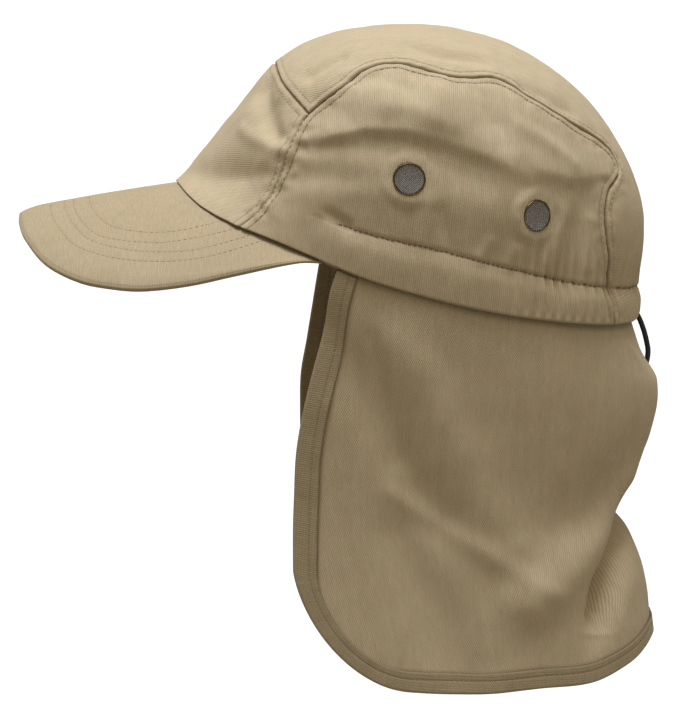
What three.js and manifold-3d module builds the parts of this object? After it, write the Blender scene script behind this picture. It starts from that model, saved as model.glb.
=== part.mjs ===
// A legionnaire cap: a soft crown of four panels, a curved bill, and a neck flap that hangs from the
// rim round the sides and back. Millimetres, +Z up, the bill points along -X and the wearer's left is -Y.
// The origin is the centre of the head opening. An angle is measured round the head in degrees: 0 at the
// front, 90 at the left ear, 180 at the back, and minus on the right.
import * as THREE from "three";
import { mergeVertices } from "three/addons/utils/BufferGeometryUtils.js";
import Module from "manifold-3d";

const wasm = await Module();
wasm.setup();

// Crown
const frontReach = 101;
const backReach = 100.5;
const sideReach = 80;
const crownTop = 116.5;
const rimFront = 48.5;
const rimBack = -12;
const planPower = 2.25;
const frontArc = 1.05;
const sideArc = 1.2;
const backArc = 1.17;
const clothWall = 1.2;
const seamGap = 0.4;
const layerGap = 0.6;
const drillLength = 8 * clothWall;

// Casing of the draw cord, at the sides and back of the rim
const casingWidth = 19;
const casingDent = 1.6;
const casingPuff = 1.1;
const gatherCount = 21;
const gatherDepth = 0.7;
const gatherSpread = 8;
const dentSpread = 3;

// Bill
const billLength = 68;
const billDip = 12.2;
const billSag = 19;
const billCamber = 0.6;
const billCurl = 2;
const billWall = 3;
const billEndAngle = 62;
const billEndWall = 1.2;
const endBlend = 4;
const curlFrom = 0.8;

// Neck flap and the tape that binds its edge
const flapWall = 1;
const flapTuck = 6;
const flapHalfTop = 178;
const flapHalfHem = 202;
const flapLength = 174.5;
const cornerAcross = 48;
const cornerDown = 46;
const tapeWall = 0.8;
const tapeGap = 0.45;
const tapeWidth = 9.4;
const tapeTopGap = 1.2;
const tapeFold = 0.8;

// Sweatband, inside the flap's and the bill's sewn-in edges
const bandWall = 1;
const bandHeight = 26;
const bandShows = 2;
const bandInset = clothWall + flapWall + 2 * layerGap + tapeWall + tapeGap;
const billInset = bandInset - layerGap;
const flapInset = clothWall + layerGap;

// Vents
const ventRadius = 7.3;
const ventHole = 5.3;
const ventBarrel = 5.9;
const ventFlange = 1.1;
const meshWall = 0.7;
const mouthGap = 0.35;
const ventStep = 0.6;
const ventGrip = 2;
const ventFlatten = 9;
const roundSides = 20;

// Draw cord and its lock
const cordDiameter = 2.4;
const cordSides = 8;
const cordSteps = 56;
const lockRadius = 5.5;
const lockHeight = 17;
const lockGap = 0.5;
const lockChamfer = 1;

// Materials
const khaki = new THREE.MeshStandardMaterial({ color: 0xa9997a, roughness: 0.95 });
const khakiTape = new THREE.MeshStandardMaterial({ color: 0x9c8c6c, roughness: 0.9 });
const agedMetal = new THREE.MeshStandardMaterial({ color: 0x4a4335, roughness: 0.45, metalness: 0.8 });
const greyMesh = new THREE.MeshStandardMaterial({ color: 0x66625c, roughness: 0.6, metalness: 0.5 });
const blackElastic = new THREE.MeshStandardMaterial({ color: 0x101012, roughness: 0.85 });
const blackPlastic = new THREE.MeshStandardMaterial({ color: 0x17171a, roughness: 0.5 });

// The rim's height round the head, as a share from rimBack up to rimFront.
const rimLine = [
  { angle: 0, height: 1 },
  { angle: 12, height: 0.955 },
  { angle: 25, height: 0.846 },
  { angle: 50, height: 0.647 },
  { angle: 75, height: 0.405 },
  { angle: 100, height: 0.236 },
  { angle: 125, height: 0.111 },
  { angle: 150, height: 0.029 },
  { angle: 180, height: 0 },
];

// The crown's line down its front, side and back. share: 0 at the top, 1 at the rim. front, side and back
// are shares of frontReach, sideReach and backReach, and up is a share of the way from the rim to the top.
const crownSections = [
  { share: 0, front: 0, frontUp: 1, side: 0, sideUp: 1, back: 0, backUp: 1 },
  { share: 0.05, front: 0.064, frontUp: 0.998, side: 0.108, sideUp: 0.998, back: 0.094, backUp: 0.998 },
  { share: 0.12, front: 0.153, frontUp: 0.985, side: 0.257, sideUp: 0.988, back: 0.224, backUp: 0.985 },
  { share: 0.25, front: 0.32, frontUp: 0.94, side: 0.515, sideUp: 0.945, back: 0.458, backUp: 0.928 },
  { share: 0.38, front: 0.473, frontUp: 0.851, side: 0.735, sideUp: 0.862, back: 0.672, backUp: 0.826 },
  { share: 0.5, front: 0.594, frontUp: 0.709, side: 0.882, sideUp: 0.745, back: 0.832, backUp: 0.7 },
  { share: 0.62, front: 0.691, frontUp: 0.531, side: 0.972, sideUp: 0.59, back: 0.957, backUp: 0.545 },
  { share: 0.74, front: 0.789, frontUp: 0.355, side: 1.013, sideUp: 0.41, back: 1.028, backUp: 0.384 },
  { share: 0.84, front: 0.87, frontUp: 0.206, side: 1.018, sideUp: 0.25, back: 1.036, backUp: 0.236 },
  { share: 0.92, front: 0.935, frontUp: 0.089, side: 1.01, sideUp: 0.12, back: 1.012, backUp: 0.111 },
  { share: 1, front: 1, frontUp: 0, side: 1, sideUp: 0, back: 1, backUp: 0 },
];

// How far the casing reaches up from the rim, as a share of casingWidth, and how strongly it is gathered.
const casingLine = [
  { angle: 58, width: 1, hold: 0, gather: 0 },
  { angle: 65, width: 1, hold: 0.5, gather: 0 },
  { angle: 74, width: 1, hold: 1, gather: 0 },
  { angle: 94, width: 1.02, hold: 1, gather: 0.1 },
  { angle: 114, width: 0.97, hold: 1, gather: 0.35 },
  { angle: 135, width: 0.88, hold: 1, gather: 0.8 },
  { angle: 158, width: 0.83, hold: 1, gather: 1 },
  { angle: 180, width: 0.8, hold: 1, gather: 1 },
];

// The seam round a side panel, from the rim at the front, over the top and down to the rim at the back.
const seamLine = [
  { along: 0, angle: 38.6, share: 1 },
  { along: 0.06, angle: 45.3, share: 0.865 },
  { along: 0.124, angle: 49.9, share: 0.728 },
  { along: 0.19, angle: 53.9, share: 0.595 },
  { along: 0.247, angle: 63.8, share: 0.506 },
  { along: 0.301, angle: 72.5, share: 0.413 },
  { along: 0.34, angle: 83, share: 0.384 },
  { along: 0.39, angle: 96.3, share: 0.414 },
  { along: 0.427, angle: 105.2, share: 0.43 },
  { along: 0.486, angle: 120.6, share: 0.418 },
  { along: 0.543, angle: 130.4, share: 0.47 },
  { along: 0.613, angle: 141.7, share: 0.53 },
  { along: 0.701, angle: 155, share: 0.59 },
  { along: 0.74, angle: 156.4, share: 0.645 },
  { along: 0.79, angle: 148.5, share: 0.7 },
  { along: 0.85, angle: 146.2, share: 0.78 },
  { along: 0.926, angle: 148.6, share: 0.885 },
  { along: 1, angle: 151.4, share: 1 },
];
const seamFrontCorner = 0.19;
const seamBackCorner = 0.72;

// Steps along the seam's front, top and back stretches, across the front and up to it. Panels that meet
// share them, so that their edges keep their gap.
const frontSteps = 8;
const topSteps = 20;
const backSteps = frontSteps;
const crossSteps = 10;
const rimCrowding = 0.45;

// Where the front panel's seam crosses the crown's centre line.
const crossSeamShare = 0.467;

// Dents and folds of the crown. place is an angle and a share, turn leans a fold from level, in degrees,
// length and width are shares of sideReach, and depth is in millimetres, with plus outwards.
const crownFolds = [
  { angle: 92, share: 0.5, turn: -4, length: 0.62, width: 0.13, depth: 1.8 },
  { angle: 88, share: 0.62, turn: -8, length: 0.6, width: 0.11, depth: -2.4 },
  { angle: 112, share: 0.74, turn: 80, length: 0.25, width: 0.12, depth: 2.2 },
  { angle: 138, share: 0.76, turn: 75, length: 0.3, width: 0.13, depth: -3 },
  { angle: 30, share: 0.8, turn: 40, length: 0.22, width: 0.12, depth: -2 },
  { angle: 24, share: 0.62, turn: 30, length: 0.25, width: 0.1, depth: 1.2 },
  { angle: -92, share: 0.52, turn: 4, length: 0.6, width: 0.14, depth: 1.5 },
  { angle: -96, share: 0.64, turn: 8, length: 0.55, width: 0.12, depth: -2 },
  { angle: -32, share: 0.78, turn: -35, length: 0.24, width: 0.12, depth: -1.6 },
];

// The bill's outer edge from its tip round to its end at the rim. forward: 0 at the end and 1 at the
// tip. out is a share of the end's distance from the centre line, and sag a share of billSag.
const billEdge = [
  { along: 0, forward: 1, out: 0, sag: 0 },
  { along: 0.11, forward: 0.992, out: 0.267, sag: 0.03 },
  { along: 0.225, forward: 0.963, out: 0.533, sag: 0.2 },
  { along: 0.342, forward: 0.889, out: 0.76, sag: 0.58 },
  { along: 0.453, forward: 0.772, out: 0.92, sag: 0.82 },
  { along: 0.537, forward: 0.657, out: 0.987, sag: 0.88 },
  { along: 0.602, forward: 0.566, out: 1.02, sag: 0.85 },
  { along: 0.696, forward: 0.43, out: 1.035, sag: 0.68 },
  { along: 0.8, forward: 0.28, out: 1.03, sag: 0.4 },
  { along: 0.93, forward: 0.09, out: 1.005, sag: 0.07 },
  { along: 1, forward: 0, out: 1, sag: 0 },
];

// The flap's shape at each level. down: 0 at the rim, 1 at the hem. front, side and back are shares of
// frontReach, sideReach and backReach, and an angle is where the flap's front edge stands on that side.
const flapSections = [
  { down: 0, front: 1, side: 1, back: 1, leftAngle: 66.4, rightAngle: 66.4 },
  { down: 0.07, front: 1.1, side: 0.99, back: 1.03, leftAngle: 63.8, rightAngle: 64.8 },
  { down: 0.17, front: 1.28, side: 0.975, back: 1.065, leftAngle: 61.3, rightAngle: 62.8 },
  { down: 0.27, front: 1.48, side: 0.96, back: 1.075, leftAngle: 58.8, rightAngle: 60.8 },
  { down: 0.36, front: 1.65, side: 0.95, back: 1.05, leftAngle: 56.6, rightAngle: 59 },
  { down: 0.45, front: 1.78, side: 0.94, back: 1.01, leftAngle: 55, rightAngle: 58.6 },
  { down: 0.56, front: 1.85, side: 0.935, back: 0.965, leftAngle: 54.4, rightAngle: 58.6 },
  { down: 0.64, front: 1.85, side: 0.94, back: 0.985, leftAngle: 54.3, rightAngle: 58.7 },
  { down: 0.8, front: 1.85, side: 0.955, back: 1.07, leftAngle: 54.7, rightAngle: 59 },
  { down: 1, front: 1.85, side: 0.985, back: 1.11, leftAngle: 55, rightAngle: 59 },
];

// How far the flap drops from the rim to its hem, as a share of flapLength, from the back to the front.
const flapDrop = [
  { across: 0, drop: 0.79 },
  { across: 0.1, drop: 0.805 },
  { across: 0.2, drop: 0.845 },
  { across: 0.3, drop: 0.88 },
  { across: 0.42, drop: 0.895 },
  { across: 0.56, drop: 0.925 },
  { across: 0.75, drop: 0.955 },
  { across: 1, drop: 1 },
];

// Folds of the flap, from one place to another. across is a share of the flap's half width, plus on the
// left, and down a share of its length. width is a share of sideReach, and depth in millimetres.
const flapFolds = [
  { across: 0.04, down: 0.2, toAcross: 0.07, toDown: 0.42, width: 0.17, depth: 5 },
  { across: 0.02, down: 0.64, toAcross: 0.3, toDown: 0.83, width: 0.11, depth: -11 },
  { across: 0.12, down: 0.52, toAcross: 0.42, toDown: 0.76, width: 0.15, depth: 5 },
  { across: 0.9, down: 0.12, toAcross: 0.62, toDown: 0.55, width: 0.14, depth: -3 },
  { across: 0.72, down: 0.1, toAcross: 0.45, toDown: 0.6, width: 0.16, depth: 2.5 },
  { across: 0.72, down: 0.62, toAcross: 0.6, toDown: 0.95, width: 0.16, depth: -2.5 },
  { across: -0.14, down: 0.18, toAcross: -0.16, toDown: 0.75, width: 0.2, depth: -6 },
  { across: -0.42, down: 0.25, toAcross: -0.46, toDown: 0.95, width: 0.2, depth: 3.5 },
  { across: -0.7, down: 0.3, toAcross: -0.72, toDown: 0.9, width: 0.16, depth: -2.5 },
];

// The vents' places on the side panels, front and rear, on both sides.
const ventPlaces = [
  { name: "front_left", angle: 87.5, share: 0.727 },
  { name: "rear_left", angle: 124.2, share: 0.77 },
  { name: "front_right", angle: -87.5, share: 0.727 },
  { name: "rear_right", angle: -124.2, share: 0.77 },
];

// The draw cord's route: out of the casing, down through the lock, round its end and back.
const cordRoute = [
  [99.9, 8.8, -8],
  [102, 8.7, -9.6],
  [104.4, 8.5, -13.2],
  [106.4, 8.4, -18],
  [108, 8.8, -23.5],
  [109, 9.8, -29],
  [108.4, 12.6, -35],
  [106.4, 17, -40.4],
  [104.4, 21.2, -44.4],
  [103.8, 22.9, -49],
  [103.6, 23.2, -62],
  [103.4, 22.6, -66],
  [103.2, 19.5, -75],
  [102.9, 20.8, -79],
  [102.6, 24.2, -81.5],
  [102.4, 28.4, -81.5],
  [102.1, 31.8, -79],
  [101.8, 33.1, -75],
  [101.9, 30, -66],
  [102, 29.2, -62],
  [102.2, 28.9, -49],
  [102.4, 27.6, -43],
  [102.6, 24.8, -34],
  [102.2, 22.4, -25],
  [101.5, 21.1, -17.5],
  [101.1, 20.7, -13.3],
  [100.2, 20.4, -10.3],
  [98.7, 20.2, -8],
];
const lockFrom = 9;
const lockTo = 10;
const lockBackFrom = 20;
const lockBackTo = 19;

// The shares of half the flap's outline that its front edge and its rounded corner take, and the steps
// down the edge to the corner's middle, and along the hem between the two corners' middles. stripShare is
// how far from a corner's middle the flap's strip under the tape turns, in steps along the hem.
const edgeShare = 0.36;
const cornerShare = 0.25;
const edgeRows = 12;
const hemColumns = 40;
const stripShare = 0.3;

const radians = THREE.MathUtils.degToRad;
const lerp = THREE.MathUtils.lerp;
const smooth = THREE.MathUtils.smoothstep;

// Reads a column of a table at a place between its rows, on a smooth curve through them.
function read(table, key, at, column) {
  const last = table.length - 1;
  let i = 0;
  while (i < last - 1 && at > table[i + 1][key]) i += 1;
  const slope = (row) => {
    const before = table[Math.max(row - 1, 0)];
    const after = table[Math.min(row + 1, last)];
    return (after[column] - before[column]) / (after[key] - before[key]);
  };
  const from = table[i];
  const to = table[i + 1];
  const step = to[key] - from[key];
  const t = (at - from[key]) / step;
  if (t < 0) return from[column] + slope(i) * step * t;
  if (t > 1) return to[column] + slope(i + 1) * step * (t - 1);
  const rise = (3 - 2 * t) * t * t;
  const bend = t * (1 - t) * step;
  return lerp(from[column], to[column], rise) + bend * ((1 - t) * slope(i) - t * slope(i + 1));
}

function rimHeight(angle) {
  return lerp(rimBack, rimFront, read(rimLine, "angle", Math.abs(angle), "height"));
}

// The distance from the origin's axis to an egg-shaped outline, in the direction of an angle.
function planRadius(angle, endReach, side) {
  const along = Math.abs(Math.cos(radians(angle))) / endReach;
  const across = Math.abs(Math.sin(radians(angle))) / side;
  return (along ** planPower + across ** planPower) ** (-1 / planPower);
}

function atAngle(angle, radius, height) {
  return new THREE.Vector3(
    -radius * Math.cos(radians(angle)),
    -radius * Math.sin(radians(angle)),
    height,
  );
}

// The crown's surface before its folds. share may pass 1, which carries on below the rim.
function smoothCrown(angle, share) {
  if (share < 1e-4) return new THREE.Vector3(0, 0, crownTop);
  const ahead = Math.cos(radians(angle)) > 0;
  const end = ahead ? "front" : "back";
  const column = (name) => read(crownSections, "share", share, name);
  const endReach = column(end) * (ahead ? frontReach : backReach);
  const side = column("side") * sideReach;
  const sideways = Math.sin(radians(angle)) ** 2;
  const rise = lerp(column(end + "Up"), column("sideUp"), sideways);
  const rim = rimHeight(angle);
  return atAngle(angle, planRadius(angle, endReach, side), lerp(rim, crownTop, rise));
}

// The length of the crown's curved line from the rim to the top.
function crownLine(angle) {
  const ahead = Math.cos(radians(angle)) > 0;
  const endLine = ahead
    ? Math.hypot(frontReach, crownTop - rimFront) * frontArc
    : Math.hypot(backReach, crownTop - rimBack) * backArc;
  const sideLine = Math.hypot(sideReach, crownTop - (rimFront + rimBack) / 4) * sideArc;
  return lerp(endLine, sideLine, Math.sin(radians(angle)) ** 2);
}

function normalOf(surface, a, b, da, db) {
  const alongA = surface(a + da, b).sub(surface(a - da, b));
  const alongB = surface(a, b + db).sub(surface(a, b - db));
  return alongB.cross(alongA).normalize();
}

// How far the casing's stitching, puff and gathers move the crown's surface.
function casingShift(angle, share) {
  const round = Math.abs(angle);
  const hold = THREE.MathUtils.clamp(read(casingLine, "angle", round, "hold"), 0, 1);
  if (round < casingLine[0].angle) return 0;
  const up = (1 - share) * crownLine(angle);
  const width = casingWidth * read(casingLine, "angle", round, "width");
  const dent = casingDent * Math.exp(-(((up - width) / dentSpread) ** 2));
  const puff = up < width ? casingPuff * Math.sin((Math.PI * Math.max(up, 0)) / width) : 0;
  const gather = gatherDepth * read(casingLine, "angle", round, "gather");
  const spread = Math.exp(-(((up - width) / gatherSpread) ** 2));
  const ripple = gather * Math.sin(radians(angle) * gatherCount) * spread;
  return hold * (puff - dent + ripple);
}

function crownFoldShift(angle, share) {
  let shift = 0;
  for (const fold of crownFolds) {
    const across = radians(angle - fold.angle) * sideReach;
    const up = (fold.share - share) * crownLine(angle);
    const turn = radians(fold.turn);
    const along = (across * Math.cos(turn) + up * Math.sin(turn)) / (fold.length * sideReach);
    const over = (up * Math.cos(turn) - across * Math.sin(turn)) / (fold.width * sideReach);
    shift += fold.depth * Math.exp(-along * along - over * over);
  }
  return shift;
}

// The crown's surface with its folds, and the direction that its wall's thickness has. Near the rim that
// is level, so that the wall's lower edge is level too, and higher up it is square to the surface.
function foldedCrown(angle, share) {
  const place = smoothCrown(angle, share);
  const level = atAngle(angle, 1, 0);
  const upright = new THREE.Vector3(0, 0, 1);
  const square = share < 0.02 ? upright : normalOf(smoothCrown, angle, share, 0.5, 0.005);
  const outwards = level.lerp(square, smooth(1 - share, 0.02, 0.2)).normalize();
  place.addScaledVector(outwards, casingShift(angle, share) + crownFoldShift(angle, share));
  return { place, outwards };
}

function ventPose(vent) {
  const surface = (angle, share) => foldedCrown(angle, share).place;
  const outwards = normalOf(surface, vent.angle, vent.share, 3, 0.03);
  return { place: surface(vent.angle, vent.share), outwards };
}

const ventPoses = ventPlaces.map(ventPose);

// The crown's surface, inset by a distance. A vent clamps the cloth flat round it.
function crownPoint(angle, share, inset = 0) {
  const { place, outwards } = foldedCrown(angle, share);
  for (const vent of ventPoses) {
    const away = place.clone().sub(vent.place);
    const hold = 1 - smooth(away.length(), ventRadius + ventGrip, ventRadius + ventFlatten);
    place.addScaledVector(vent.outwards, -hold * away.dot(vent.outwards));
    outwards.lerp(vent.outwards, hold);
  }
  return place.addScaledVector(outwards.normalize(), -inset);
}

// A closed body between an outer and an inner grid of points, both as rows of columns.
function shell(outer, inner) {
  const rows = outer.length;
  const columns = outer[0].length;
  const points = [...outer.flat(), ...inner.flat()];
  const index = [];
  const out = (r, c) => r * columns + c;
  const inn = (r, c) => rows * columns + out(r, c);
  const quad = (a, b, c, d) => index.push(a, b, c, a, c, d);
  for (let r = 0; r < rows - 1; r += 1) {
    for (let c = 0; c < columns - 1; c += 1) {
      quad(out(r, c), out(r, c + 1), out(r + 1, c + 1), out(r + 1, c));
      quad(inn(r, c), inn(r + 1, c), inn(r + 1, c + 1), inn(r, c + 1));
    }
    quad(out(r, 0), out(r + 1, 0), inn(r + 1, 0), inn(r, 0));
    quad(out(r + 1, columns - 1), out(r, columns - 1), inn(r, columns - 1), inn(r + 1, columns - 1));
  }
  for (let c = 0; c < columns - 1; c += 1) {
    quad(out(0, c + 1), out(0, c), inn(0, c), inn(0, c + 1));
    quad(out(rows - 1, c), out(rows - 1, c + 1), inn(rows - 1, c + 1), inn(rows - 1, c));
  }
  return facingOut(new THREE.BufferGeometry().setFromPoints(points).setIndex(index));
}

// Turns a closed geometry's faces round if they point inwards.
function facingOut(geometry) {
  const place = geometry.attributes.position;
  const index = geometry.index.array;
  const corner = (i) => new THREE.Vector3().fromBufferAttribute(place, index[i]);
  let volume = 0;
  for (let i = 0; i < index.length; i += 3) {
    volume += corner(i).dot(corner(i + 1).cross(corner(i + 2)));
  }
  if (volume < 0) {
    for (let i = 0; i < index.length; i += 3) [index[i + 1], index[i + 2]] = [index[i + 2], index[i + 1]];
  }
  return geometry;
}

// A grid of points from a function of two shares.
function gridOf(rows, columns, point) {
  return Array.from({ length: rows + 1 }, (_, r) =>
    Array.from({ length: columns + 1 }, (_, c) => point(r / rows, c / columns)),
  );
}

// Places on the crown as points of a flat disk, with the top at its centre and the rim on its edge.
function onDisk(angle, share) {
  return new THREE.Vector2(share * Math.cos(radians(angle)), share * Math.sin(radians(angle)));
}

function angleOn(place) {
  return THREE.MathUtils.radToDeg(Math.atan2(place.y, place.x));
}

function fromDisk(place, inset) {
  return crownPoint(angleOn(place), place.length(), inset);
}

// The side seam on the disk, moved sideways by a distance in millimetres, plus towards the side panel.
function seamPlace(along, aside) {
  const at = (t) => onDisk(read(seamLine, "along", t, "angle"), read(seamLine, "along", t, "share"));
  const ahead = at(Math.min(along + 0.01, 1)).sub(at(Math.max(along - 0.01, 0))).normalize();
  const place = at(along);
  const scale = aside / crownLine(angleOn(place));
  place.x += ahead.y * scale;
  place.y -= ahead.x * scale;
  return place;
}

function rimPlace(fromAngle, toAngle, t) {
  return onDisk(lerp(fromAngle, toAngle, t), 1);
}

// A seam's share that is half a gap long, at the front corner.
function cornerGap() {
  const at = (along) => fromDisk(seamPlace(along, 0), 0);
  const step = 0.01;
  const pace = at(seamFrontCorner + step).distanceTo(at(seamFrontCorner - step)) / (2 * step);
  return seamGap / 2 / pace;
}

// The edge of the front panel or the top one at the seam between them, from the left side seam to the
// right one. ahead is 1 on the top panel and -1 on the front one.
function crossSeamPlace(t, ahead) {
  const corner = seamPlace(seamFrontCorner + ahead * cornerGap(), -seamGap / 2);
  const sideways = 2 * t - 1;
  const middle = crossSeamShare - (ahead * seamGap) / 2 / crownLine(0);
  return new THREE.Vector2(lerp(middle, corner.x, sideways ** 2), -sideways * corner.y);
}

// A smooth patch between four edges that meet at its corners. Each edge is a function of a share.
function patch(bottom, top, left, right) {
  return (v, u) => {
    const ruled = bottom(u).multiplyScalar(1 - v).addScaledVector(top(u), v);
    const across = left(v).multiplyScalar(1 - u).addScaledVector(right(v), u);
    const corners = bottom(0).multiplyScalar((1 - u) * (1 - v));
    corners.addScaledVector(bottom(1), u * (1 - v));
    corners.addScaledVector(top(0), (1 - u) * v);
    corners.addScaledVector(top(1), u * v);
    return ruled.add(across).sub(corners);
  };
}

// A share of the way up from the rim, with rows that lie closer together at the casing.
function fromRim(t) {
  return t * lerp(rimCrowding, 1, t);
}

function panelShell(place, rows, columns) {
  const layer = (inset) => gridOf(rows, columns, (v, u) => fromDisk(place(v, u), inset));
  return shell(layer(0), layer(clothWall));
}

// side is 1 on the wearer's left and -1 on the right.
function sidePanelPlace(side) {
  const aside = seamGap / 2;
  const seam = (from, to) => (t) => {
    const place = seamPlace(lerp(from, to, t), aside);
    place.y *= side;
    return place;
  };
  const front = seam(0, seamFrontCorner);
  const back = seam(1, seamBackCorner);
  const rim = (t) => rimPlace(angleOn(front(0)), angleOn(back(0)), t);
  const place = patch(rim, seam(seamFrontCorner, seamBackCorner), front, back);
  return (v, u) => place(fromRim(v), u);
}

function topPanelPlace() {
  const topShare = topSteps / (topSteps + backSteps);
  const seam = (side) => (t) => {
    const start = seamFrontCorner + cornerGap();
    const along =
      t < topShare
        ? lerp(start, seamBackCorner, t / topShare)
        : lerp(1, seamBackCorner, fromRim((1 - t) / (1 - topShare)));
    const place = seamPlace(along, -seamGap / 2);
    place.y *= side;
    return place;
  };
  const backAngle = angleOn(seam(1)(1));
  const back = (t) => rimPlace(backAngle, 360 - backAngle, t);
  return patch((t) => crossSeamPlace(t, 1), back, seam(1), seam(-1));
}

function frontPanelPlace() {
  const seam = (side) => (t) => {
    const place = seamPlace(lerp(0, seamFrontCorner - cornerGap(), t), -seamGap / 2);
    place.y *= side;
    return place;
  };
  const frontAngle = angleOn(seam(1)(0));
  const rim = (t) => rimPlace(frontAngle, -frontAngle, t);
  const place = patch(rim, (t) => crossSeamPlace(t, -1), seam(1), seam(-1));
  return (v, u) => place(fromRim(v), u);
}

// manifold-3d's solid of a geometry, and a geometry of its solid.
function solidOf(geometry) {
  const bare = geometry.index ? geometry.toNonIndexed() : geometry.clone();
  bare.deleteAttribute("normal");
  bare.deleteAttribute("uv");
  const merged = mergeVertices(bare, 1e-3);
  return new wasm.Manifold(
    new wasm.Mesh({
      numProp: 3,
      vertProperties: merged.attributes.position.array,
      triVerts: new Uint32Array(merged.index.array),
    }),
  );
}

function geometryOf(solid) {
  const mesh = solid.getMesh();
  return new THREE.BufferGeometry()
    .setAttribute("position", new THREE.BufferAttribute(new Float32Array(mesh.vertProperties), 3))
    .setIndex(new THREE.BufferAttribute(new Uint32Array(mesh.triVerts), 1));
}

// A cylinder along a direction, centred on a place.
function rod(place, direction, radius, length) {
  const turn = new THREE.Quaternion().setFromUnitVectors(new THREE.Vector3(0, 1, 0), direction);
  return new THREE.CylinderGeometry(radius, radius, length, roundSides)
    .applyQuaternion(turn)
    .translate(place.x, place.y, place.z);
}

// A side panel, with a hole for each of its vents.
function sidePanel(side) {
  let solid = solidOf(panelShell(sidePanelPlace(side), frontSteps, topSteps));
  for (const { place, outwards } of ventPoses.filter((pose) => Math.sign(-pose.place.y) === side)) {
    const hole = rod(place, outwards, ventBarrel + mouthGap, drillLength);
    solid = solid.subtract(solidOf(hole));
  }
  return geometryOf(solid);
}

function cordCurve() {
  return new THREE.CatmullRomCurve3(cordRoute.map((p) => new THREE.Vector3(...p)));
}

// The top panel, with the two holes that the draw cord comes out of.
function topPanel() {
  let solid = solidOf(panelShell(topPanelPlace(), topSteps + backSteps, crossSteps));
  const curve = cordCurve();
  for (const end of [0, 1]) {
    const place = curve.getPointAt(end);
    const hole = rod(place, curve.getTangentAt(end), cordDiameter / 2 + mouthGap, drillLength);
    solid = solid.subtract(solidOf(hole));
  }
  return geometryOf(solid);
}

// The sweatband lies inside the rim, and shows below it between the bill and the flap.
function sweatband() {
  const place = (v, u, depth) => {
    const angle = 360 * u;
    const round = Math.abs(angle > 180 ? angle - 360 : angle);
    const low = lerp(layerGap, -bandShows, smooth(round, billEndAngle - endBlend, billEndAngle));
    const up = lerp(low, bandHeight, v);
    return crownPoint(angle > 180 ? angle - 360 : angle, 1 - up / crownLine(angle), bandInset + depth);
  };
  const rows = 2;
  const columns = 48;
  const outer = gridOf(rows, columns, (v, u) => place(v, u, 0));
  const inner = gridOf(rows, columns, (v, u) => place(v, u, bandWall));
  return ring(outer, inner);
}

// A closed hoop between an outer and an inner grid whose last column meets the first.
function ring(outer, inner) {
  const rows = outer.length;
  const columns = outer[0].length - 1;
  const trim = (grid) => grid.map((row) => row.slice(0, columns));
  const points = [...trim(outer).flat(), ...trim(inner).flat()];
  const index = [];
  const out = (r, c) => r * columns + (c % columns);
  const inn = (r, c) => rows * columns + out(r, c);
  const quad = (a, b, c, d) => index.push(a, b, c, a, c, d);
  for (let c = 0; c < columns; c += 1) {
    for (let r = 0; r < rows - 1; r += 1) {
      quad(out(r, c), out(r, c + 1), out(r + 1, c + 1), out(r + 1, c));
      quad(inn(r, c), inn(r + 1, c), inn(r + 1, c + 1), inn(r, c + 1));
    }
    quad(out(0, c + 1), out(0, c), inn(0, c), inn(0, c + 1));
    quad(out(rows - 1, c), out(rows - 1, c + 1), inn(rows - 1, c + 1), inn(rows - 1, c));
  }
  return facingOut(new THREE.BufferGeometry().setFromPoints(points).setIndex(index));
}

// The bill's upper surface. across: -1 at the right end to 1 at the left one. out: 0 at the root, which
// lies under the crown's wall, to 1 at the outer edge, which turns in under the wall at its ends.
function billPoint(across, out) {
  const t = Math.abs(across);
  const angle = across * billEndAngle;
  const level = atAngle(angle, 1, 0);
  const root = smoothCrown(angle, 1).addScaledVector(level, -billInset);
  const end = smoothCrown(Math.sign(across) * billEndAngle, 1);
  const tip = new THREE.Vector3(-frontReach - billLength, 0, rimFront - billDip);
  const edge = new THREE.Vector3(
    lerp(end.x, tip.x, read(billEdge, "along", t, "forward")),
    end.y * read(billEdge, "along", t, "out"),
    lerp(tip.z, end.z - seamGap, t) - billSag * read(billEdge, "along", t, "sag"),
  );
  edge.addScaledVector(level, -(clothWall + layerGap) * smooth(t, 0.93, 1));
  root.z -= seamGap;
  const place = root.lerp(edge, out);
  place.z += billCamber * 4 * out * (1 - out) * (1 - t ** 4);
  place.z -= billCurl * smooth(out, curlFrom, 1) * (1 - t ** 4);
  return place;
}

function bill() {
  const rows = 6;
  const columns = 36;
  const layer = (depth) =>
    gridOf(rows, columns, (v, u) => {
      const across = 2 * u - 1;
      const place = billPoint(across, v);
      place.z -= depth * lerp(billWall, billEndWall, smooth(Math.abs(across), 0.84, 1));
      return place;
    });
  return shell(layer(0), layer(1));
}

// The flap's half width at a distance down from the rim, as it is cut.
function flapHalf(down) {
  return lerp(flapHalfTop, flapHalfHem, Math.max(down, 0) / flapLength);
}

function flapFoldShift(across, down) {
  let shift = 0;
  for (const fold of flapFolds) {
    const from = new THREE.Vector2(fold.across * flapHalfHem, fold.down * flapLength);
    const to = new THREE.Vector2(fold.toAcross * flapHalfHem, fold.toDown * flapLength);
    const along = to.clone().sub(from);
    const here = new THREE.Vector2(across, down).sub(from);
    const t = THREE.MathUtils.clamp(here.dot(along) / along.lengthSq(), 0, 1);
    const away = here.sub(along.multiplyScalar(t)).length() / (fold.width * sideReach);
    shift += fold.depth * Math.exp(-away * away);
  }
  return shift * smooth(down, 0, 0.2 * flapLength);
}

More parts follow.
